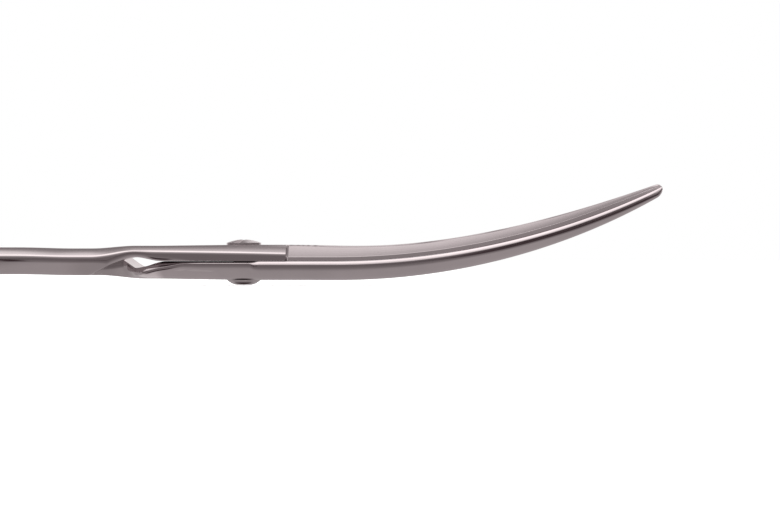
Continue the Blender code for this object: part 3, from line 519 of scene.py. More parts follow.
def rounded_outline(lines, breaks, counts):
    """Closed outline of lines, each resampled, with a rounding after each."""
    lengths = [length_of(line) for line in lines]
    reaches = []
    for index, radius in enumerate(breaks):
        after = (index + 1) % len(lines)
        reaches.append(min(radius, BREAK_ROOM * lengths[index], BREAK_ROOM * lengths[after]))
    outline = []
    for index, line in enumerate(lines):
        start = reaches[index - 1]
        end = lengths[index] - reaches[index]
        outline.append(sampled(line, start, end, counts[index]))
    ring = []
    for index, part in enumerate(outline):
        after = outline[(index + 1) % len(outline)]
        ring += part + curved(part[-1], lines[index][-1], after[0], BREAK_STEPS)[1:-1]
    return ring


def half_section(place, half):
    at = make_station(place, half)
    flank_facet = (FLANK_FACET - FACET_SLOPE * min(place, RICASSO_END)) * at.scale
    facet = mix(flank_facet, SHANK_FACET * end_share(place), at.shank)
    facet_low = -SHANK_FACET_LOW * end_share(place)
    chamfer = spine_chamfer(at)
    upper = upper_line(at, facet, chamfer)
    under = lower_line(at, facet, facet_low)
    flank_low = under[-1][1]
    if flank_low - under[0][1] < MERGE:
        under = [(at.outer, flank_low), (at.outer, flank_low)]
    flank = [(at.outer, flank_low), upper[0]]
    edge_height = mix(chamfer, SHANK_INNER_ROUND * end_share(place), round_share(place))
    edge_inset = min(edge_height, SHANK_ROUND_ROOM * (at.outer - at.inner))
    edge_lean = BACK_LEAN * edge_inset * (1.0 - at.shank)
    ahead = ease(place, CHAMFER_START, 2.0 * CHAMFER_START)
    behind = ease(-place, EYE_START, THUMB_EYE_APEX)
    relief = at.face + RELIEF_DEPTH * (1.0 - ahead) * (1.0 - behind)
    edge = corner(at.inner, edge_inset, relief, -edge_height, edge_lean, EDGE_STEPS)
    spine = [upper[-1]] + edge
    start = edge[-1][0]
    width = min(RELIEF_WIDTH, (under[0][0] - start) / 3.0)
    ledge = [edge[-1], (start + width, relief)]
    step = [ledge[-1], (start + RELIEF_SLOPE * width, at.face)]
    face = [step[-1], under[0]]
    ground = ease(place, RICASSO_END, PLUNGE_END)
    crown_break = mix(CROWN_BREAK, BEVEL_BREAK, ground)
    strip = mix(FLANK_STRIP, EDGE_BEVEL_WIDTH, ground)
    bevel, upper = split_at(upper, at.outer - strip)
    ring = rounded_outline(
        (under, flank, bevel, upper, spine, ledge, step, face),
        (CROWN_BREAK, crown_break, BEVEL_BREAK, CROWN_BREAK) + (EDGE_BREAK,) * 4,
        OUTLINE_STEPS,
    )
    if place < 0.0:
        return ring
    base = 0.5 * FACE_GAP
    left = tip_share(place, half.end)
    return [(side, base + (rise - base) * left) for side, rise in ring]


def skewed(place, side, half):
    inner, outer = side_limits(place, half)
    begun = ease(-place, RAMP_SKEW_START, half.apex)
    faded = ease(-place, ramp_end(half), ramp_end(half) + RAMP_SKEW_FADE)
    share = (side - inner) / (outer - inner)
    return place + half.skew * begun * (1.0 - faded) * share


def bent(place, side, rise, half):
    up = half.up * rise
    angle = max(place - BEND_START, 0.0) / BEND_RADIUS
    run = min(place, BEND_START) + BEND_RADIUS * sin(angle)
    height = PARTING + BEND_RADIUS * (1.0 - cos(angle))
    height += SHANK_LIFT * ease(-place, SHANK_LIFT_START, SHANK_LIFT_END)
    return Vector((run - up * sin(angle), half.side * side, height + up * cos(angle)))


def half_places(half):
    """Places of the sections from a shank's end to the tip, closer where the outline turns."""
    places = [-SHANK_END]
    for end, steps in (
        (-SHANK_ROOT - 1.5 * MM, 42),  # the shank
        (-half.apex + 1.0 * MM, 52),  # the ramp, past the eye's apex
        (-EYE_START, 8),  # the eye
        (CHAMFER_START, 20),  # the pivot
        (2.0 * CHAMFER_START, 8),  # where the spine's chamfer grows
        (RICASSO_END - 0.2 * MM, 18),  # the ricasso
        (PLUNGE_END + 0.1 * MM, 38),  # the plunge
        (PLUNGE_END + 6.0 * MM, 18),  # the ground face's start
        (BLADE_END - TIP_ROUND, 76),  # the blade
    ):
        places += spread(places[-1], end, steps)[1:]
    turns = spread(0.0, 0.5 * pi, 20)[1:-1]
    places += [BLADE_END - TIP_ROUND * (1.0 - sin(turn)) for turn in turns]
    return places


# Mesh helpers

def add_object(name, data):
    item = bpy.data.objects.new(name, data)
    bpy.context.scene.collection.objects.link(item)
    return item


def as_object(name, mesh):
    data = bpy.data.meshes.new(name)
    mesh.to_mesh(data)
    mesh.free()
    return add_object(name, data)


def skin(mesh, rows, around):
    """Faces between rows of points, all the way round or left open."""
    for first, second in zip(rows, rows[1:]):
        count = len(first)
        for index in range(count if around else count - 1):
            after = (index + 1) % count
            mesh.faces.new((first[index], first[after], second[after], second[index]))


def loft(name, rings, joined=False):
    """Skin over rings of points, joined end to end or closed at both ends."""
    mesh = bmesh.new()
    rows = [[mesh.verts.new(point) for point in ring] for ring in rings]
    skin(mesh, rows + rows[:1] if joined else rows, around=True)
    if not joined:
        mesh.faces.new(list(reversed(rows[0])))
        mesh.faces.new(rows[-1])
    bmesh.ops.remove_doubles(mesh, verts=mesh.verts, dist=MERGE)
    bmesh.ops.recalc_face_normals(mesh, faces=mesh.faces)
    return as_object(name, mesh)


def circle(radius, height, segments, flat=inf):
    """Circle of points, cut off at a flat if it has one."""
    points = []
    for index in range(segments):
        angle = 2.0 * pi * (index + 0.5) / segments
        points.append(Vector((radius * cos(angle), min(radius * sin(angle), flat), height)))
    return points


def turned(name, profile, segments, joined=False):
    """Object turned from rows of radius, height and, where there is one, its flat."""
    rings = [circle(row[0], row[1], segments, *row[2:]) for row in profile]
    return loft(name, rings, joined)


def applied(item):
    """Put an object's modifiers and place into its mesh."""
    bpy.context.view_layer.update()
    graph = bpy.context.evaluated_depsgraph_get()
    data = bpy.data.meshes.new_from_object(item.evaluated_get(graph))
    data.transform(item.matrix_world)
    item.modifiers.clear()
    item.matrix_world = Matrix.Identity(4)
    item.data = data
    return item


def boolean(target, tool, operation="DIFFERENCE"):
    modifier = target.modifiers.new(tool.name, "BOOLEAN")
    modifier.operation = operation
    modifier.solver = "EXACT"
    modifier.object = tool
    applied(target)
    bpy.data.objects.remove(tool, do_unlink=True)


def finished(item, material, body, node, sharp=32.0):
    """Shade a piece, give it its material and slot, and let it ride in place of its node."""
    item.data.materials.clear()
    item.data.materials.append(material)
    item.data.shade_smooth()
    item.data.set_sharp_from_angle(angle=radians(sharp))
    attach(item, body)
    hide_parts(node)


def place_along(item, origin, direction):
    item.rotation_mode = "QUATERNION"
    item.rotation_quaternion = direction.to_track_quat("Z", "Y")
    item.location = origin
    return item


# Steel halves

def half_body(name, half):
    """Blade and shank of a half."""
    rings = []
    for place in half_places(half):
        section = half_section(place, half)
        rings.append([bent(skewed(place, side, half), side, rise, half) for side, rise in section])
    return loft(name, rings)


def ring_point(angle, along, across, half):
    side = half.side * (RING_SIDE - along * cos(angle))
    return Vector((RING_X + along * sin(angle), side, RING_Z + across))


def ring_body(name, half):
    rings = []
    for index in range(RING_SEGMENTS):
        angle = 2.0 * pi * index / RING_SEGMENTS
        row = []
        for step in range(TUBE_SEGMENTS):
            turn = 2.0 * pi * (step + 0.5) / TUBE_SEGMENTS
            along = RING_MIDDLE + 0.5 * RING_TUBE * cos(turn)
            row.append(ring_point(angle, along, 0.5 * RING_HEIGHT * sin(turn), half))
        rings.append(row)
    return loft(name, rings, joined=True)


def soften_join(item, half):
    """Even out the mesh where a shank runs into its ring, as a filed and polished fillet."""
    middle = ring_point(RING_JOIN, RING_MIDDLE, 0.0, half)
    mesh = bmesh.new()
    mesh.from_mesh(item.data)
    near = [vert for vert in mesh.verts if (vert.co - middle).length < JOIN_REACH]
    bmesh.ops.remove_doubles(mesh, verts=near, dist=JOIN_MERGE)
    for _ in range(JOIN_PASSES):
        near = [vert for vert in mesh.verts if (vert.co - middle).length < JOIN_REACH]
        moves = []
        for vert in near:
            around = [edge.other_vert(vert).co for edge in vert.link_edges]
            mean = sum(around, Vector()) / len(around)
            share = 0.5 * ease(JOIN_REACH - (vert.co - middle).length, 0.0, JOIN_FADE)
            moves.append((vert, vert.co.lerp(mean, share)))
        for vert, place in moves:
            vert.co = place
    bmesh.ops.recalc_face_normals(mesh, faces=mesh.faces)
    mesh.to_mesh(item.data)
    mesh.free()


def steel_half(name, half):
    blade = half_body(name, half)
    boolean(blade, ring_body(name + "_ring", half), "UNION")
    soften_join(blade, half)
    return blade


def thumb_bore():
    hole = 0.5 * BARREL_DIAMETER + FIT_GAP
    pocket = 0.5 * WASHER_DIAMETER + FIT_GAP
    seat = 0.5 * HEAD_DIAMETER + 2.0 * FIT_GAP
    under_head = SCREW_SEAT - SEAT_GAP
    profile = (
        (hole, PARTING - 0.5 * FINGER_THICKNESS), (hole, COUNTERBORE_FLOOR),
        (pocket, COUNTERBORE_FLOOR), (pocket, under_head),
        (seat, under_head), (seat, TOP + THUMB_THICKNESS),
    )
    return turned("thumb_bore", profile, BORE_SEGMENTS)


def finger_bore():
    hole = 0.5 * BARREL_DIAMETER + FIT_GAP
    flat = BARREL_FLAT + FIT_GAP
    profile = ((hole, -FOOT_HEIGHT, flat), (hole, TOP, flat))
    return turned("finger_bore", profile, BORE_SEGMENTS)


def bearing_pocket():
    radius = 0.5 * BEARING_DIAMETER + FIT_GAP
    face = PARTING - 0.5 * BLADE_GAP
    profile = ((radius, face - BEARING_POCKET), (radius, TOP))
    return turned("bearing_recess", profile, BORE_SEGMENTS)


def seat_cutter(name, stud, depth, collar, seat, outward):
    """Hole for a stud, with a flat spot round it on a ring's outside."""
    hole = 0.5 * stud + FIT_GAP
    spot = 0.5 * collar + 2.0 * FIT_GAP
    profile = ((hole, -depth - SEAT_GAP), (hole, 0.0), (spot, 0.0), (spot, RING_TUBE))
    return place_along(turned(name, profile, STUD_SEGMENTS), seat, outward)


# Pivot hardware

def make_nut():
    foot = 0.5 * FOOT_DIAMETER
    flat_radius = 0.5 * FOOT_FLAT_DIAMETER
    barrel = 0.5 * BARREL_DIAMETER
    bore = 0.5 * THREAD_DIAMETER + FIT_GAP
    underside = FOOT_HEIGHT + FOOT_SEAT
    edge = 0.05 * MM
    profile = []
    for share in spread(0.0, 1.0, 18):
        radius = mix(flat_radius, foot, share)
        profile.append((radius, (underside - FOOT_RIM) * share ** 2))
    profile += [
        (foot, underside - edge), (foot - 0.3 * edge, underside - 0.3 * edge),
        (foot - edge, underside), (barrel, underside, BARREL_FLAT),
        (barrel, BARREL_TOP, BARREL_FLAT), (bore, BARREL_TOP), (bore, BORE_FLOOR),
    ]
    return turned("foot_nut", profile, PIVOT_SEGMENTS)


def make_screw():
    """Coin-slotted screw with a low dome."""
    head = 0.5 * HEAD_DIAMETER
    thread = 0.5 * THREAD_DIAMETER
    end = THREAD_END - SCREW_SEAT
    edge = 0.05 * MM
    profile = [
        (thread - THREAD_POINT, end), (thread, end + THREAD_POINT), (thread, 0.0),
        (head - edge, 0.0), (head, edge),
    ]
    for share in spread(1.0, 0.03, 31):
        profile.append((head * share, HEAD_RIM + HEAD_DOME * (1.0 - share ** 2)))
    screw = turned("coin_screw", profile, PIVOT_SEGMENTS)
    screw.location.z = SCREW_SEAT
    block = bmesh.new()
    size = (SLOT_WIDTH, 2.0 * HEAD_DIAMETER, 2.0 * SLOT_DEPTH, 1.0)
    bmesh.ops.create_cube(block, size=1.0, matrix=Matrix.Diagonal(size))
    floor_edges = [
        side for side in block.edges
        if all(vert.co.z < 0.0 for vert in side.verts)
        and abs(side.verts[0].co.y - side.verts[1].co.y) > HEAD_DIAMETER
    ]
    bmesh.ops.bevel(block, geom=floor_edges, offset=0.15 * MM, segments=4, affect="EDGES",
                    profile=0.5)
    slot = as_object("coin_slot", block)
    slot.location.z = SCREW_SEAT + HEAD_RIM + HEAD_DOME
    slot.rotation_euler.z = SLOT_TURN
    boolean(screw, slot)
    return screw


# What the rings carry

def make_insert(name, half):
    """Soft liner with a lip on either side of the ring's bar."""
    reach = 0.5 * RING_HEIGHT * INSERT_REACH
    lip = INSERT_LIP * INSERT_WALL
    inner = 0.5 * RING_BORE - SEAT_GAP - INSERT_WALL
    outside = []
    for share in spread(-1.0, 1.0, 20):
        height = share * reach
        bar = 0.5 * RING_TUBE * sqrt(1.0 - (2.0 * height / RING_HEIGHT) ** 2)
        outside.append((RING_MIDDLE - bar - SEAT_GAP, height))
    crest = (outside[-1][0] - lip, reach + lip)
    turns = [outside[-1], crest, (inner + lip, reach), (inner, INSERT_FLAT * reach)]
    upper = []
    for first, second, third in zip(turns, turns[1:], turns[2:]):
        start = first if first is turns[0] else halfway(first, second)
        end = third if third is turns[-1] else halfway(second, third)
        upper += curved(start, second, end, BREAK_STEPS)[1:]
    wall = [(inner, INSERT_FLAT * reach * share) for share in spread(1.0, -1.0, 8)[1:-1]]
    lower = [(radius, -height) for radius, height in reversed(upper)]
    profile = outside + upper + wall + lower
    insert = turned(name, profile, RING_SEGMENTS, joined=True)
    insert.location = (RING_X, half.side * RING_SIDE, RING_Z)
    return applied(insert)


def make_bumper(seat, inward):
    """Rubber stop with a waisted side and a rounded nose."""
    outer = 0.5 * BUMPER_DIAMETER
    hollow_radius = 0.5 * POST_HEAD + FIT_GAP
    length = RING_SPACE + BUMPER_SEAT - SEAT_GAP
    nose = 0.6 * MM
    edge = 0.1 * MM
    waist = 0.14 * MM
    profile = [
        (hollow_radius, 2.0 * SEAT_GAP + POST_HEAD_HEIGHT), (hollow_radius, SEAT_GAP),
        (outer - edge, SEAT_GAP), (outer, SEAT_GAP + edge),
    ]
    for share in spread(0.0, 1.0, 12):
        height = mix(SEAT_GAP + 3.0 * edge, length - nose, share)
        profile.append((outer - waist * sin(pi * share) ** 2, height))
    for turn in spread(0.0, 0.5 * pi, 8)[1:]:
        radius = outer - nose + nose * cos(turn)
        profile.append((radius, length - nose + nose * sin(turn)))
    cap = turned("ring_stop", profile, BUMPER_SEGMENTS)
    return applied(place_along(cap, seat, inward))


def rest_ring(share, radius):
    """Circle round the hook's bent axis."""
    bend_radius = (REST_LENGTH - REST_NECK) / REST_BEND
    turn = REST_BEND * share
    centre = Vector((bend_radius * (1.0 - cos(turn)), 0.0, REST_NECK + bend_radius * sin(turn)))
    tilt = Matrix.Rotation(turn, 3, "Y")
    return [centre + tilt @ point for point in circle(radius, 0.0, STUD_SEGMENTS)]


def make_rest(seat, outward):
    """Tapered hook with a collar."""
    stud = 0.5 * REST_STUD_DIAMETER
    base = 0.5 * REST_BASE_DIAMETER
    waist = 0.5 * REST_WAIST_DIAMETER
    tip = 0.5 * REST_TIP_DIAMETER
    edge = 0.12 * MM
    collar = SEAT_GAP + REST_COLLAR
    profile = (
        (stud, -REST_STUD_DEPTH), (stud, SEAT_GAP),
        (base - edge, SEAT_GAP), (base - 0.3 * edge, SEAT_GAP + 0.3 * edge),
        (base, SEAT_GAP + edge), (base, collar - 2.0 * edge),
        (base - 0.6 * edge, collar - 0.6 * edge), (base - 2.0 * edge, collar),
        (mix(base, waist, 0.75), collar + edge),
    )
    rings = [circle(radius, height, STUD_SEGMENTS) for radius, height in profile]
    rounding = tip / (REST_LENGTH - REST_NECK)
    for share in spread(0.0, 1.0 - rounding, 40):
        radius = mix(waist, tip, ease(share, REST_SWELL, 1.0 - rounding))
        rings.append(rest_ring(share, radius))
    for turn in spread(0.0, 0.5 * pi, 14)[1:-1]:
        share = 1.0 - rounding * (1.0 - sin(turn))
        rings.append(rest_ring(share, tip * cos(turn)))
    rest = loft("finger_hook", rings)
    frame_z = outward.normalized()
    frame_y = Vector((0.0, 0.0, 1.0))
    basis = Matrix((frame_y.cross(frame_z), frame_y, frame_z)).transposed().to_4x4()
    rest.matrix_world = Matrix.Translation(seat) @ basis
    return applied(rest)


# Materials

class Nodes:
    """Nodes of a material or world."""

    def __init__(self, owner):
        owner.use_nodes = True
        self.owner = owner
        self.tree = owner.node_tree

    def fill(self, node, values):
        """Set a node's inputs, and link those that get another node's output."""
        for name, value in values.items():
            socket = node.inputs[name]
            if isinstance(value, bpy.types.NodeSocket):
                self.tree.links.new(value, socket)
            else:
                socket.default_value = (*value, 1.0) if socket.type == "RGBA" else value

    def add(self, kind, values=None, **settings):
        node = self.tree.nodes.new("ShaderNode" + kind)
        for name, value in settings.items():
            setattr(node, name, value)
        self.fill(node, values or {})
        return node.outputs

    def maths(self, operation, first, second):
        return self.add("Math", {0: first, 1: second}, operation=operation)["Value"]

    def shaded(self, **values):
        """Set the shader's inputs, named with _ for a space, and give the material."""
        shader = self.tree.nodes["Principled BSDF"]
        self.fill(shader, {name.replace("_", " "): value for name, value in values.items()})
        return self.owner


class Surface(Nodes):
    """Nodes of a new material with grain, marks and wear."""

    def __init__(self, name):
        super().__init__(bpy.data.materials.new(name))
        self.place = self.add("TexCoord")["Object"]

    def stretched(self, scale, turn=0.0):
        values = {"Vector": self.place, "Scale": scale, "Rotation": (0.0, 0.0, turn)}
        return self.add("Mapping", values)["Vector"]

    def noise(self, scale, detail=3.0, vector=None, roughness=0.55):
        values = {"Vector": vector or self.place, "Scale": scale, "Detail": detail,
                  "Roughness": roughness}
        return self.add("TexNoise", values)["Fac"]

    def ranged(self, value, low, high, first=0.0, second=1.0):
        values = {"Value": value, "From Min": low, "From Max": high, "To Min": first,
                  "To Max": second}
        return self.add("MapRange", values)["Result"]

    def worn(self, low, high):
        """1 along outward edges, 0 elsewhere."""
        return self.ranged(self.add("NewGeometry")["Pointiness"], low, high)

    def colour_mix(self, factor, first, second):
        return self.add("Mix", {0: factor, 6: first, 7: second}, data_type="RGBA")[2]

    def bump(self, height, distance, strength, **normal):
        values = {"Height": height, "Distance": distance, "Strength": strength, **normal}
        return self.add("Bump", values)["Normal"]


def steel(name, light, dark, smooth, grain_scale, grain_depth):
    """Polished stainless steel: fine grain, faint scratches, handling marks, worn edges."""
    nodes = Surface(name)
    grain = nodes.noise(1.0, 4.0, nodes.stretched(grain_scale), roughness=0.6)
    cloud = nodes.noise(90.0, 4.0)
    along = nodes.stretched((700.0, 9000.0, 9000.0), turn=0.5)
    marks = nodes.ranged(nodes.noise(1.0, 2.0, along, roughness=0.5), 0.66, 0.74)
    wear = nodes.worn(0.53, 0.62)
    base = nodes.colour_mix(nodes.ranged(cloud, 0.35, 0.7), light, dark)
    base = nodes.colour_mix(nodes.maths("MULTIPLY", wear, 0.35), base, (0.78, 0.74, 0.74))
    rough = nodes.ranged(cloud, 0.3, 0.75, smooth, smooth + 0.05)
    for mask, added in ((grain, 0.03), (marks, 0.10), (wear, 0.06)):
        rough = nodes.maths("ADD", rough, nodes.maths("MULTIPLY", mask, added))
    bump = nodes.bump(grain, grain_depth, 0.5)
    bump = nodes.bump(marks, -0.4 * grain_depth, 0.5, Normal=bump)
    return nodes.shaded(Metallic=1.0, Base_Color=base, Roughness=rough, Normal=bump)


def rubber(name):
    """Black moulded rubber with a soft sheen, fine pores and lighter worn edges."""
    nodes = Surface(name)
    pores = nodes.noise(5200.0)
    cloud = nodes.noise(160.0)
    wear = nodes.maths("MULTIPLY", nodes.worn(0.51, 0.60), 0.4)
    base = nodes.colour_mix(cloud, (0.020, 0.020, 0.022), (0.034, 0.033, 0.033))
    base = nodes.colour_mix(wear, base, (0.075, 0.072, 0.070))
    rough = nodes.ranged(cloud, 0.3, 0.7, 0.46, 0.62)
    bump = nodes.bump(pores, 0.02 * MM, 0.4)
    return nodes.shaded(Base_Color=base, Roughness=rough, Normal=bump, Specular_IOR_Level=0.4)


def nylon(name):
    """Natural nylon with turning marks."""
    nodes = Surface(name)
    cloud = nodes.noise(700.0)
    values = {"Vector": nodes.place, "Scale": 2600.0, "Distortion": 0.6}
    rings = nodes.add("TexWave", values, wave_type="RINGS", rings_direction="Z")["Fac"]
    base = nodes.colour_mix(cloud, (0.80, 0.78, 0.72), (0.70, 0.67, 0.60))
    rough = nodes.ranged(cloud, 0.3, 0.7, 0.38, 0.52)
    bump = nodes.bump(rings, 0.01 * MM, 0.3)
    return nodes.shaded(Base_Color=base, Roughness=rough, Normal=bump, Subsurface_Weight=0.15,
                        Subsurface_Radius=(0.4 * MM, 0.35 * MM, 0.3 * MM))


POLISHED = steel("polished_steel", (0.63, 0.575, 0.585), (0.58, 0.53, 0.54), 0.10,
                 (260.0, 5200.0, 5200.0), 0.0016 * MM)
TURNED = steel("screw_steel", (0.62, 0.57, 0.58), (0.55, 0.51, 0.52), 0.24,
               (3800.0, 3800.0, 3800.0), 0.0015 * MM)
SPRING = steel("spring_steel", (0.48, 0.47, 0.46), (0.40, 0.39, 0.38), 0.26,
               (3000.0, 3000.0, 3000.0), 0.003 * MM)
RUBBER = rubber("black_rubber")
NYLON = nylon("nylon")


# Pieces

def dress():
    thumb = steel_half("thumb_half_steel", THUMB)
    boolean(thumb, thumb_bore())
    finished(thumb, POLISHED, "thumb_half", "thumb_blade")

    finger = steel_half("finger_half_steel", FINGER)
    boolean(finger, finger_bore())
    boolean(finger, bearing_pocket())
    inward = Vector((0.0, -FINGER.side, 0.0))
    stop_seat = ring_point(0.0, RING_MIDDLE + 0.5 * RING_TUBE, 0.0, FINGER) - BUMPER_SEAT * inward
    boolean(finger, seat_cutter(
        "stop_seat", POST_DIAMETER, POST_DEPTH, BUMPER_DIAMETER, stop_seat, inward,
    ))
    angle = -(0.5 * pi + REST_ANGLE)
    outward = ring_point(angle, 1.0, 0.0, FINGER) - ring_point(angle, 0.0, 0.0, FINGER)
    rest_seat = ring_point(angle, RING_MIDDLE + 0.5 * RING_TUBE - REST_SEAT, 0.0, FINGER)
    boolean(finger, seat_cutter(
        "rest_seat", REST_STUD_DIAMETER, REST_STUD_DEPTH, REST_BASE_DIAMETER, rest_seat, outward,
    ))
    finished(finger, POLISHED, "finger_half", "finger_blade")

    finished(make_nut(), TURNED, "finger_half", "pivot_nut", sharp=30.0)
    finished(make_screw(), TURNED, "tension_screw", "pivot_screw", sharp=30.0)
    finished(make_rest(rest_seat, outward), TURNED, "finger_half",
             "finger_rest", sharp=40.0)
    finished(make_bumper(stop_seat, inward), RUBBER, "finger_half",
             "bumper", sharp=40.0)
    finished(make_insert("thumb_liner", THUMB), RUBBER, "thumb_half",
             "thumb_ring_insert", sharp=50.0)
    finished(make_insert("finger_liner", FINGER), RUBBER, "finger_half",
             "finger_ring_insert", sharp=50.0)

    for name, material in (("bearing_washer", NYLON), ("nylon_washer", NYLON),
                           ("spring_washer", SPRING), ("bumper_post", SPRING)):
        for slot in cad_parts[name].material_slots:
            slot.material = material


# Studio

def light_material(name):
    """Light in the tones that the mesh carries."""
    nodes = Nodes(bpy.data.materials.new(name))
    nodes.tree.nodes.clear()
    tone = nodes.add("VertexColor", layer_name="tone")["Color"]
    light = nodes.add("Emission", {"Color": tone, "Strength": 1.0})["Emission"]
    nodes.add("OutputMaterial", {"Surface": light})
    return nodes.owner


def tinted(tone):
    """Bright tones are neutral and dark ones a little warm, as in the photograph."""
    return (*(tone * share + warmth for share, warmth in TINT), 1.0)


def lit_sheet(name, light, rows):
    """Sheet through rows of points with tones, which only reflections see."""
    mesh = bmesh.new()
    layer = mesh.verts.layers.float_color.new("tone")
    grid = []
    for row in rows:
        grid.append([])
        for point, tone in row:
            vert = mesh.verts.new(point)
            vert[layer] = tinted(tone)
            grid[-1].append(vert)
    skin(mesh, grid, around=False)
    item = as_object(name, mesh)
    item.data.materials.append(light_material(light))
    for ray in ("camera", "diffuse", "transmission", "volume_scatter", "shadow"):
        setattr(item, "visible_" + ray, False)


def band(value, start, full, fading, end):
    """1 inside a stretch, eased to 0 at both of its ends."""
    return ease(value, start, full) * (1.0 - ease(value, fading, end))


def curve_at(stops, value):
    """Value of a line through stops, eased between them."""
    if value <= stops[0][0]:
        return stops[0][1]
    for (start, first), (end, second) in zip(stops, stops[1:]):
        if value <= end:
            return mix(first, second, ease(value, start, end))
    return stops[-1][1]


# Brightness of the light tent by the angle in degrees round the object, from the camera's
# side at 0 over the top at 90 to the far side at 180
TENT_STOPS = (
    (-5, 0.17), (6, 0.18), (12, 0.25), (18, 0.33), (30, 0.38), (44, 0.50),
    (54, 0.85), (64, 1.30), (76, 1.70),
    (94, 1.75), (104, 1.42), (113, 1.26), (117.5, 1.02), (120, 0.84), (122.5, 0.60),
    (125, 0.42), (131, 0.31), (139, 0.25), (147, 0.25), (151, 0.27), (156, 0.45),
    (161, 0.62), (166, 0.90), (172, 1.00), (185, 1.00),
)
TENT_RADIUS = 0.7
TENT_REACH = 62.0  # it runs this many degrees to the left and to the right
END_BEARING = (32.0, 42.0)  # its ends begin between these, to either side
END_SHARE = 0.06  # low down they keep this share of its brightness
END_RISE = (9.0, 18.0)  # and above these angles they have a bright tone instead
END_TONE = 0.75
CARD_REACH = 1.2 * TENT_RADIUS  # where the sheets stand that close the ends
CARD_SIZE = 2.0
CARD_TONES = (0.07, 0.05)  # tones low on the left one and the right one
OVERHEAD = (44.0, 60.0, 108.0, 120.0)  # it comes and goes between these angles
TOP_FADE = (17.0, 27.0)  # and its light fades between these to the right
TOP_LEFT = 0.35  # to this share
LOW = (4.0, 14.0)  # low down ends between these angles
DARK_BEARING = (13.0, 16.0, 26.0, 29.0)  # low down in front it is dark here
DARK_SHARE = 0.15
RIGHT_BEARING = (29.0, 33.0)  # and has this tone beyond
RIGHT_TONE = 0.30
FAR_ANGLE = (128.0, 136.0, 166.0, 172.0)  # a bright field on the far side
FAR_BEARING = (-2.2, -0.6, 20.0, 27.0)
FAR_TONE = 0.90
TINT = ((1.02, 0.018), (0.99, 0.0), (0.985, 0.0045))  # a tone's share and warmth per colour


def tent_tone(angle, bearing):
    tone = curve_at(TENT_STOPS, angle)
    end = ease(abs(bearing), *END_BEARING)
    tone *= mix(1.0, END_SHARE, end)
    tone = mix(tone, END_TONE, end * ease(angle, *END_RISE))
    tone *= mix(1.0, TOP_LEFT, band(angle, *OVERHEAD) * ease(bearing, *TOP_FADE))
    low = 1.0 - ease(angle, *LOW)
    tone *= mix(1.0, DARK_SHARE, band(bearing, *DARK_BEARING) * low)
    tone = mix(tone, RIGHT_TONE, low * ease(bearing, *RIGHT_BEARING))
    return mix(tone, FAR_TONE, band(angle, *FAR_ANGLE) * band(bearing, *FAR_BEARING))


def make_tent():
    """Curved sheet from the floor in front over the object to the floor behind."""
    rows = []
    for angle in spread(-1.0, 181.0, 182):
        turn = radians(angle)
        row = []
        for bearing in spread(-TENT_REACH, TENT_REACH, 62):
            along = TENT_RADIUS * tan(radians(bearing))
            point = (along, -TENT_RADIUS * cos(turn), TENT_RADIUS * sin(turn))
            row.append((point, tent_tone(angle, bearing)))
        rows.append(row)
    lit_sheet("light_tent", "tent_light", rows)


def make_end_cards():
    """Sheets that close the tent's two ends, dark low down and bright above."""
    low, high = [CARD_REACH * tan(radians(angle)) for angle in END_RISE]
    for end, dark in zip((-CARD_REACH, CARD_REACH), CARD_TONES):
        rows = []
        for height in [-CARD_SIZE] + spread(low, high, 12) + [CARD_SIZE]:
            tone = mix(dark, END_TONE, ease(height, low, high))
            rows.append([((end, side, height), tone) for side in (-CARD_SIZE, CARD_SIZE)])
        lit_sheet("end_card", "end_light", rows)


# Brightness of the floor as the steel sees it, by the distance in millimetres behind the pivot
FLOOR_STOPS = (
    (-400, 0.185), (-40, 0.185), (-20, 0.20), (-12, 0.235), (-9.5, 0.29), (-8, 0.35),
    (-7, 0.40), (-6, 0.42), (0, 0.43), (10, 0.46), (30, 0.60), (100, 0.95),
    (400, 1.00),
)
# Painted patches of darker and brighter reflection on it: from and to along the pair, from and to
# across it, soft edge, share of brightness
FLOOR_PATCHES = (
    (44, 170, -900, -12, 12, 0.25),
    (-49, -41.5, -36, -10, 2.5, 0.15),
    (-48, -36, -75, -28, 3, 0.25),
    (-38, -23.5, -60, 7, 5, 0.85),
    (-24, -16.5, -6.5, 1.5, 1.5, 1.6),
    (-22, -15, -12.5, -6.5, 1.5, 0.12),
)
# The painted shadow in front of the foot: inner and outer radius, far and near end, share left
FOOT_SHADOW = (2.4, 3.1, -1.9, -1.3, 0.05)
# The card's grid across the pair and along it: from, to and steps of each stretch
CARD_SIDES = ((-900, -100, 8), (-60, -14, 23), (-13, 5, 36), (10, 60, 10), (100, 700, 8))
CARD_PLACES = (
    (-1000, -100, 4), (-60, -6, 72), (-5, 5, 20), (10, 90, 20), (100, 200, 10), (300, 1000, 4),
)
CARD_LEVEL = -0.10 * MM


def floor_tone(along, side):
    """Brightness of the floor at a place in millimetres."""
    tone = curve_at(FLOOR_STOPS, side)
    for start, end, near, far, soft, share in FLOOR_PATCHES:
        across = band(along, start, start + soft, end - soft, end)
        across *= band(side, near, near + soft, far - soft, far)
        tone *= mix(1.0, share, across)
    start, end, near, far, left = FOOT_SHADOW
    dark = 1.0 - ease(hypot(along, side), start, end)
    return tone * mix(1.0, left, dark * (1.0 - ease(side, near, far)))


def make_under_card():
    """Grey card on the floor, which only the steel sees, painted with the floor's shade, patches
    of reflection and a shadow in front of the foot.
    """
    places = [place for stretch in CARD_PLACES for place in spread(*stretch)]
    rows = [
        [((along * MM, side * MM, CARD_LEVEL), floor_tone(along, side)) for along in places]
        for stretch in CARD_SIDES for side in spread(*stretch)
    ]
    lit_sheet("under_card", "card_light", rows)


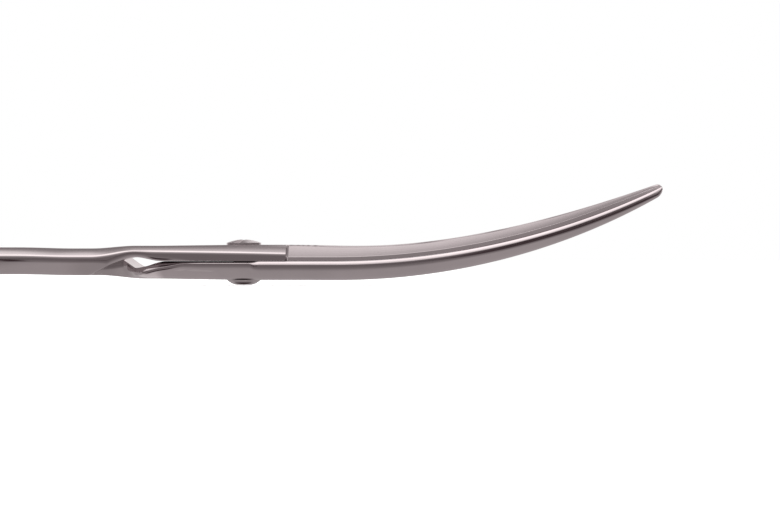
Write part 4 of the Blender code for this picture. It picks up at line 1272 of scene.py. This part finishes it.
# Grey and strength of the background, as it lights the object and as it is seen
WORLD_LIGHT = (0.90, 0.65)
WORLD_SHOWN = (1.0, 1.0)
FLOOR_SIZE = 6.0
FLOOR_LEVEL = -0.15 * MM
FLOOR_GREY = 0.86
FLOOR_LIFT = 0.56  # brightness that the camera and reflections see on it besides
LAMP_PLACE = (0.0, -0.10, 0.60)
LAMP_SIZE = (0.9, 0.7)
LAMP_POWER = 3.2
CAMERA_PLACE = (30.4 * MM, -451.0 * MM, 5.15 * MM)


def shown_rays(nodes):
    """1 for camera, glossy and transmission rays."""
    rays = nodes.add("LightPath")
    total = rays["Is Camera Ray"]
    for name in ("Is Glossy Ray", "Is Transmission Ray"):
        total = nodes.maths("MAXIMUM", total, rays[name])
    return total


def make_world():
    """Grey light from all round, seen as a white background."""
    world = bpy.data.worlds.new("studio")
    bpy.context.scene.world = world
    nodes = Nodes(world)
    nodes.tree.nodes.clear()
    values = {"Fac": shown_rays(nodes)}
    for socket, (grey, strength) in ((1, WORLD_LIGHT), (2, WORLD_SHOWN)):
        shade = {"Color": (grey, grey, grey), "Strength": strength}
        values[socket] = nodes.add("Background", shade)["Background"]
    nodes.add("OutputWorld", {"Surface": nodes.add("MixShader", values)["Shader"]})


def make_floor():
    """White floor. Its own colour carries the white background and keeps the shadow."""
    mesh = bmesh.new()
    bmesh.ops.create_grid(mesh, x_segments=8, y_segments=8, size=FLOOR_SIZE)
    floor = as_object("floor", mesh)
    floor.location.z = FLOOR_LEVEL
    nodes = Nodes(bpy.data.materials.new("floor"))
    floor.data.materials.append(nodes.shaded(
        Base_Color=(FLOOR_GREY, FLOOR_GREY, FLOOR_GREY),
        Roughness=0.95,
        Specular_IOR_Level=0.0,
        Emission_Color=(1.0, 1.0, 1.0),
        Emission_Strength=nodes.maths("MULTIPLY", shown_rays(nodes), FLOOR_LIFT),
    ))


def make_lamp():
    """Soft lamp above the object, a little in front of it, which no reflection sees."""
    data = bpy.data.lights.new("top_light", "AREA")
    data.shape = "RECTANGLE"
    data.size, data.size_y = LAMP_SIZE
    data.energy = LAMP_POWER
    lamp = add_object("top_light", data)
    lamp.location = LAMP_PLACE
    lamp.rotation_mode = "QUATERNION"
    lamp.rotation_quaternion = (Vector() - lamp.location).to_track_quat("-Z", "Y")
    lamp.visible_glossy = False


def make_camera():
    data = bpy.data.cameras.new("camera")
    data.lens = 100.0
    data.sensor_width = 36.0
    data.clip_start = 0.01
    data.clip_end = 20.0
    camera = add_object("camera", data)
    camera.location = CAMERA_PLACE
    camera.rotation_euler = (0.5 * pi, 0.0, 0.0)
    bpy.context.scene.camera = camera


dress()
make_world()
make_floor()
make_tent()
make_end_cards()
make_under_card()
make_lamp()
make_camera()
bpy.context.scene.view_settings.view_transform = "Standard"
